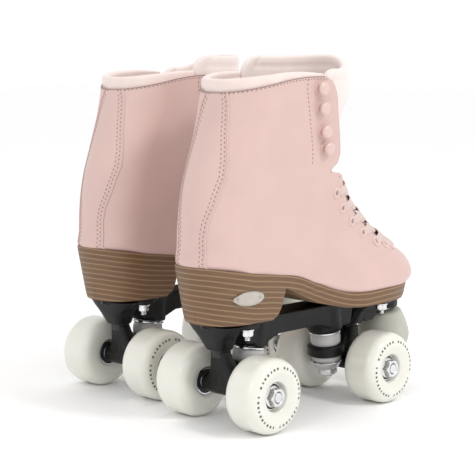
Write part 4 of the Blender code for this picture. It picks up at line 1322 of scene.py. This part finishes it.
def add_kingpin(foot, end_name):
    """The kingpin with its nut and cup washer, two cushions, and the pivot cup."""
    end = ENDS[end_name]
    root = f"{foot}_skate"
    name = f"{foot}_{end_name}"
    shaft = lathe([(0, -14), (3.95, -14), (3.95, 28), (0, 28)], 40, closed=False)
    tip = threaded(KINGPIN_RADIUS, -23.0, -13.5, 1.0, THREAD_DEPTH)
    cup = lathe(rounded([(4.2, -14.3), (7.7, -14.5), (11.9, -9.8), (12.9, -9.2), (13.3, -9.8), (8.9, -15.9),
                         (4.2, -15.9)], 0.35), 80)
    nut = hexagon(8.1, -21.0, -15.9, KINGPIN_RADIUS)
    washer = lathe(rounded([(4.2, 14.6), (13.2, 14.6), (13.2, 16.0), (4.2, 16.0)], 0.4), 80)
    parts = joined(shaft, tip, cup, nut, washer)
    piece(f"{name}_kingpin_set", on_kingpin(parts, end), SKIN["steel"], foot, root,
          [f"{name}_kingpin"], sharp=30)
    upper = [(4.8, 4.4), (11.6, 4.4), (12.5, 7.0), (12.6, 9.5), (12.5, 12.0), (11.6, CUSHION_TOP),
             (4.8, CUSHION_TOP)]
    lower = [(4.8, -4.4), (11.8, -4.4), (12.3, -6.2), (11.5, -9.2), (7.1, CUSHION_BOTTOM),
             (4.8, CUSHION_BOTTOM)]
    cushions = (("upper", upper, CUSHION_TOP, CUSHION_GRIP), ("lower", lower, CUSHION_BOTTOM, -CUSHION_GRIP))
    for place, profile, held, carried in cushions:
        cushion = lathe(rounded(profile, 0.9), 80)
        made = piece(f"{name}_{place}_urethane", on_kingpin(cushion, end), SKIN["cushion"], foot, None,
                     sharp=50)
        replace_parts(made, f"{name}_{place}_cushion")
        kingpin_point(foot, end, held)
        kingpin_point(foot, end, carried)
        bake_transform(made)
    cup = lathe(rounded([(4.9, -1.0), (6.9, -1.4), (7.4, -0.4), (6.5, 0.5), (6.5, 12), (4.9, 12)], 0.3), 48)
    piece(f"{name}_pivot_cup", cup.leant(PIVOT_CUP_Y, PIVOT_CUP_Z, -ARM_LEAN).ended(end), SKIN["socket"],
          foot, root, sharp=50)


def wheel_profile():
    """The wheel's section as (radius, x): a flat tread, convex flanks up to a lip, dished faces and seats.

    A flank runs from the tread's edge to the lip as a quarter of a superellipse.
    """
    turn = np.linspace(0, pi / 2, 18)
    inward, rise = WHEEL_RADIUS - LIP_RADIUS, WHEEL_HALF - LIP_X
    outer = [(LIP_RADIUS + inward * cos(t) ** 0.86, LIP_X + rise * sin(t) ** 0.92) for t in turn]
    inner = [(r, -x) for r, x in outer[::-1]]
    seats = [(18.2, 15.8), (16.0, 14.9), (13.2, 14.0), (12.0, 13.6), (SEAT_RADIUS, 12.8),
             (SEAT_RADIUS, 1.7), (9, 1.7), (9, -7.7), (SEAT_RADIUS, -7.7), (SEAT_RADIUS, -15.0),
             (12.0, -15.6), (17, -15.9)]
    tread = [(WHEEL_RADIUS, x) for x in np.linspace(-6, 6, 7)]
    return inner + tread + outer + seats


def add_wheel(foot, end_name, flank_name):
    """A wheel with its printed ring, two shielded bearings and the spacer between them."""
    flank = FLANKS[flank_name]
    body = f"{foot}_{end_name}_{flank_name}_wheel"
    name = f"{foot}_{end_name}_{flank_name}"

    def set_out(shape):
        shape = across(shape).turned(np.diag([flank, 1, 1]))
        return shape.moved((flank * HALF_TRACK, ENDS[end_name] * HALF_BASE, WHEEL_RADIUS))

    profile = np.array(wheel_profile())
    piece(f"{name}_tyre", set_out(lathe(profile, 112)), SKIN["wheel"], foot, body, [body],
          sharp=50)
    face = profile[(profile[:, 1] > LIP_X + 0.1) & (profile[:, 0] >= LIP_RADIUS)]
    face = face[np.argsort(face[:, 0])]
    radius = np.linspace(*DASH_RADII, 4)
    marks = []
    for k in range(DASHES):
        if k % (DASHES // 2) in RESTS:
            continue
        angle = (k + np.array([0.22, 0.45, 0.55 + 0.15 * ((k * 7) % 3 > 0)])) * 2 * pi / DASHES
        height = np.interp(radius, face[:, 0], face[:, 1])
        low, high = (np.stack([radius[:, None] * np.cos(angle), radius[:, None] * np.sin(angle),
                               np.repeat((height + d)[:, None], 3, axis=1)], axis=-1) for d in (-0.3, 0.045))
        rows = np.concatenate([high, low[::-1]], axis=0)
        ring = sheet_of(rows, wrap_rows=True)
        count = len(rows)
        sides = [np.array([[r * 3 + c, (r + 1) * 3 + c, (count - 2 - r) * 3 + c, (count - 1 - r) * 3 + c]])
                 for r in range(3) for c in (0, 2)]
        marks.append(Shape(ring.points, ring.faces + sides))
    piece(f"{name}_printed_ring", set_out(joined(*marks)), SKIN["mark"], foot, body, sharp=60)
    races, shields = [], []
    for low in BEARING_LOWS:
        high = low + BEARING_WIDTH
        races.append(lathe(rounded([(9.5, low), (11.0, low), (11.0, high), (9.5, high)], 0.3), 72))
        races.append(lathe(rounded([(4.1, low), (6.0, low), (6.0, high), (4.1, high)], 0.3), 72))
        shields.append(lathe(rounded([(5.9, low + 0.5), (9.6, low + 0.5), (9.6, high - 0.5),
                                      (5.9, high - 0.5)], 0.2), 72))
    races.append(lathe([(4.2, -8), (5.8, -8), (5.8, 2), (4.2, 2)], 40))
    piece(f"{name}_races", set_out(joined(*races)), SKIN["steel"], foot, body,
          [f"{foot}_{end_name}_{flank_name}_bearings"], sharp=40)
    piece(f"{name}_shields", set_out(joined(*shields)), SKIN["shield"], foot, body, sharp=40)


def add_toe_stop(foot):
    """The toe stop: a domed rubber pad on a threaded stem with its lock nut."""
    body = f"{foot}_toe_stop"

    def stood(shape):
        return shape.leant(STEM_Y, STEM_BASE, STEM_LEAN)

    flanks = [(5.2, -14.4), (8, -13.8), (16.5, -13.8), (20, -22.7), (22.3, -32.8), (22.5, -37.3),
              (20.4, -43.9), (18.5, -48.9), (16.6, -52)]
    profile = np.vstack([[(0, -34), (5.2, -34)], rounded(flanks, 2.4, 6), [(12, -52), (0, -52)]])
    piece(f"{foot}_toe_stop_rubber", stood(lathe(profile, 112, closed=False)), SKIN["stop"], foot, body,
          [f"{foot}_toe_stop_pad"], sharp=40)
    stem = joined(threaded(STEM_RADIUS, -32.6, 0, 1.25), hexagon(9.4, -13.7, -10.9, 4.6))
    return piece(f"{foot}_stop_stem", stood(stem), SKIN["steel"], foot, body,
                 [f"{foot}_toe_stop_stem"], sharp=30)


# ---------------------------------------------------------------- the pair

for foot in SIDES:
    add_upper(foot)
    add_lining(foot)
    add_tongue(foot)
    add_footbed(foot)
    add_hooks(foot)
    add_eyelets(foot)
    add_laces(foot)
    add_stitching(foot)
    add_back_seam(foot)
    add_sole(foot)
    add_badge(foot)
    add_plate(foot)
    add_mounting_bolts(foot)
    add_toe_stop(foot)
    for end_name in ENDS:
        add_truck(foot, end_name)
        add_kingpin(foot, end_name)
        for flank_name in FLANKS:
            add_wheel(foot, end_name, flank_name)


# ---------------------------------------------------------------- floor, lights and camera


def add_floor():
    """A plain white floor that runs far behind the skates."""
    mesh = bpy.data.meshes.new("floor")
    size = 12.0
    corners = [(-size, -size, 0), (size, -size, 0), (size, size, 0), (-size, size, 0)]
    mesh.from_pydata(corners, [], [(0, 1, 2, 3)])
    white = Finish("white studio floor", Specular_IOR_Level=0.2)
    white.feed(Roughness=0.7 + (white.noise(3, 2) - 0.5) * 0.05)
    white.shader.inputs["Base Color"].default_value = (0.99, 0.99, 0.99, 1)
    mesh.materials.append(white.material)
    made = bpy.data.objects.new("floor", mesh)
    bpy.context.scene.collection.objects.link(made)


def add_light(name, place, target, size, power):
    """A soft round lamp that looks at a target."""
    lamp = bpy.data.lights.new(name, "AREA")
    lamp.shape = "DISK"
    lamp.size = size
    lamp.energy = power
    made = bpy.data.objects.new(name, lamp)
    made.location = place
    made.rotation_euler = (Vector(target) - Vector(place)).to_track_quat("-Z", "Y").to_euler()
    bpy.context.scene.collection.objects.link(made)


def add_camera():
    """A camera in front of the skates on their right, a little above and turned by a small roll."""
    back = Vector((0.6898, -0.7127, 0.1272)).normalized()
    level = Vector((0, 0, 1)).cross(back).normalized()
    upright = back.cross(level)
    roll = radians(0.43)
    right = level * cos(roll) + upright * sin(roll)
    up = upright * cos(roll) - level * sin(roll)
    lens = bpy.data.cameras.new("camera")
    lens.lens = 101.5
    lens.sensor_width = 36
    lens.clip_end = 100
    made = bpy.data.objects.new("camera", lens)
    made.matrix_world = Matrix.Translation(Vector((769.0, -809.4, 272.3)) * MM) @ Matrix(
        (right, up, back)).transposed().to_4x4()
    bpy.context.scene.collection.objects.link(made)
    bpy.context.scene.camera = made


add_floor()
add_light("key", (1.25, 0.15, 1.25), (0, 0, 0.15), 0.3, 7)
add_light("fill", (0.3, -1.5, 0.9), (0, 0, 0.12), 0.6, 2)
add_light("top", (-0.1, 0.3, 1.8), (0, 0, 0.1), 1.4, 2.5)
world = bpy.data.worlds.new("studio")
world.use_nodes = True
world.node_tree.nodes["Background"].inputs["Color"].default_value = (1, 1, 1, 1)
world.node_tree.nodes["Background"].inputs["Strength"].default_value = 1.0
bpy.context.scene.world = world
bpy.context.scene.view_settings.view_transform = "Standard"
add_camera()
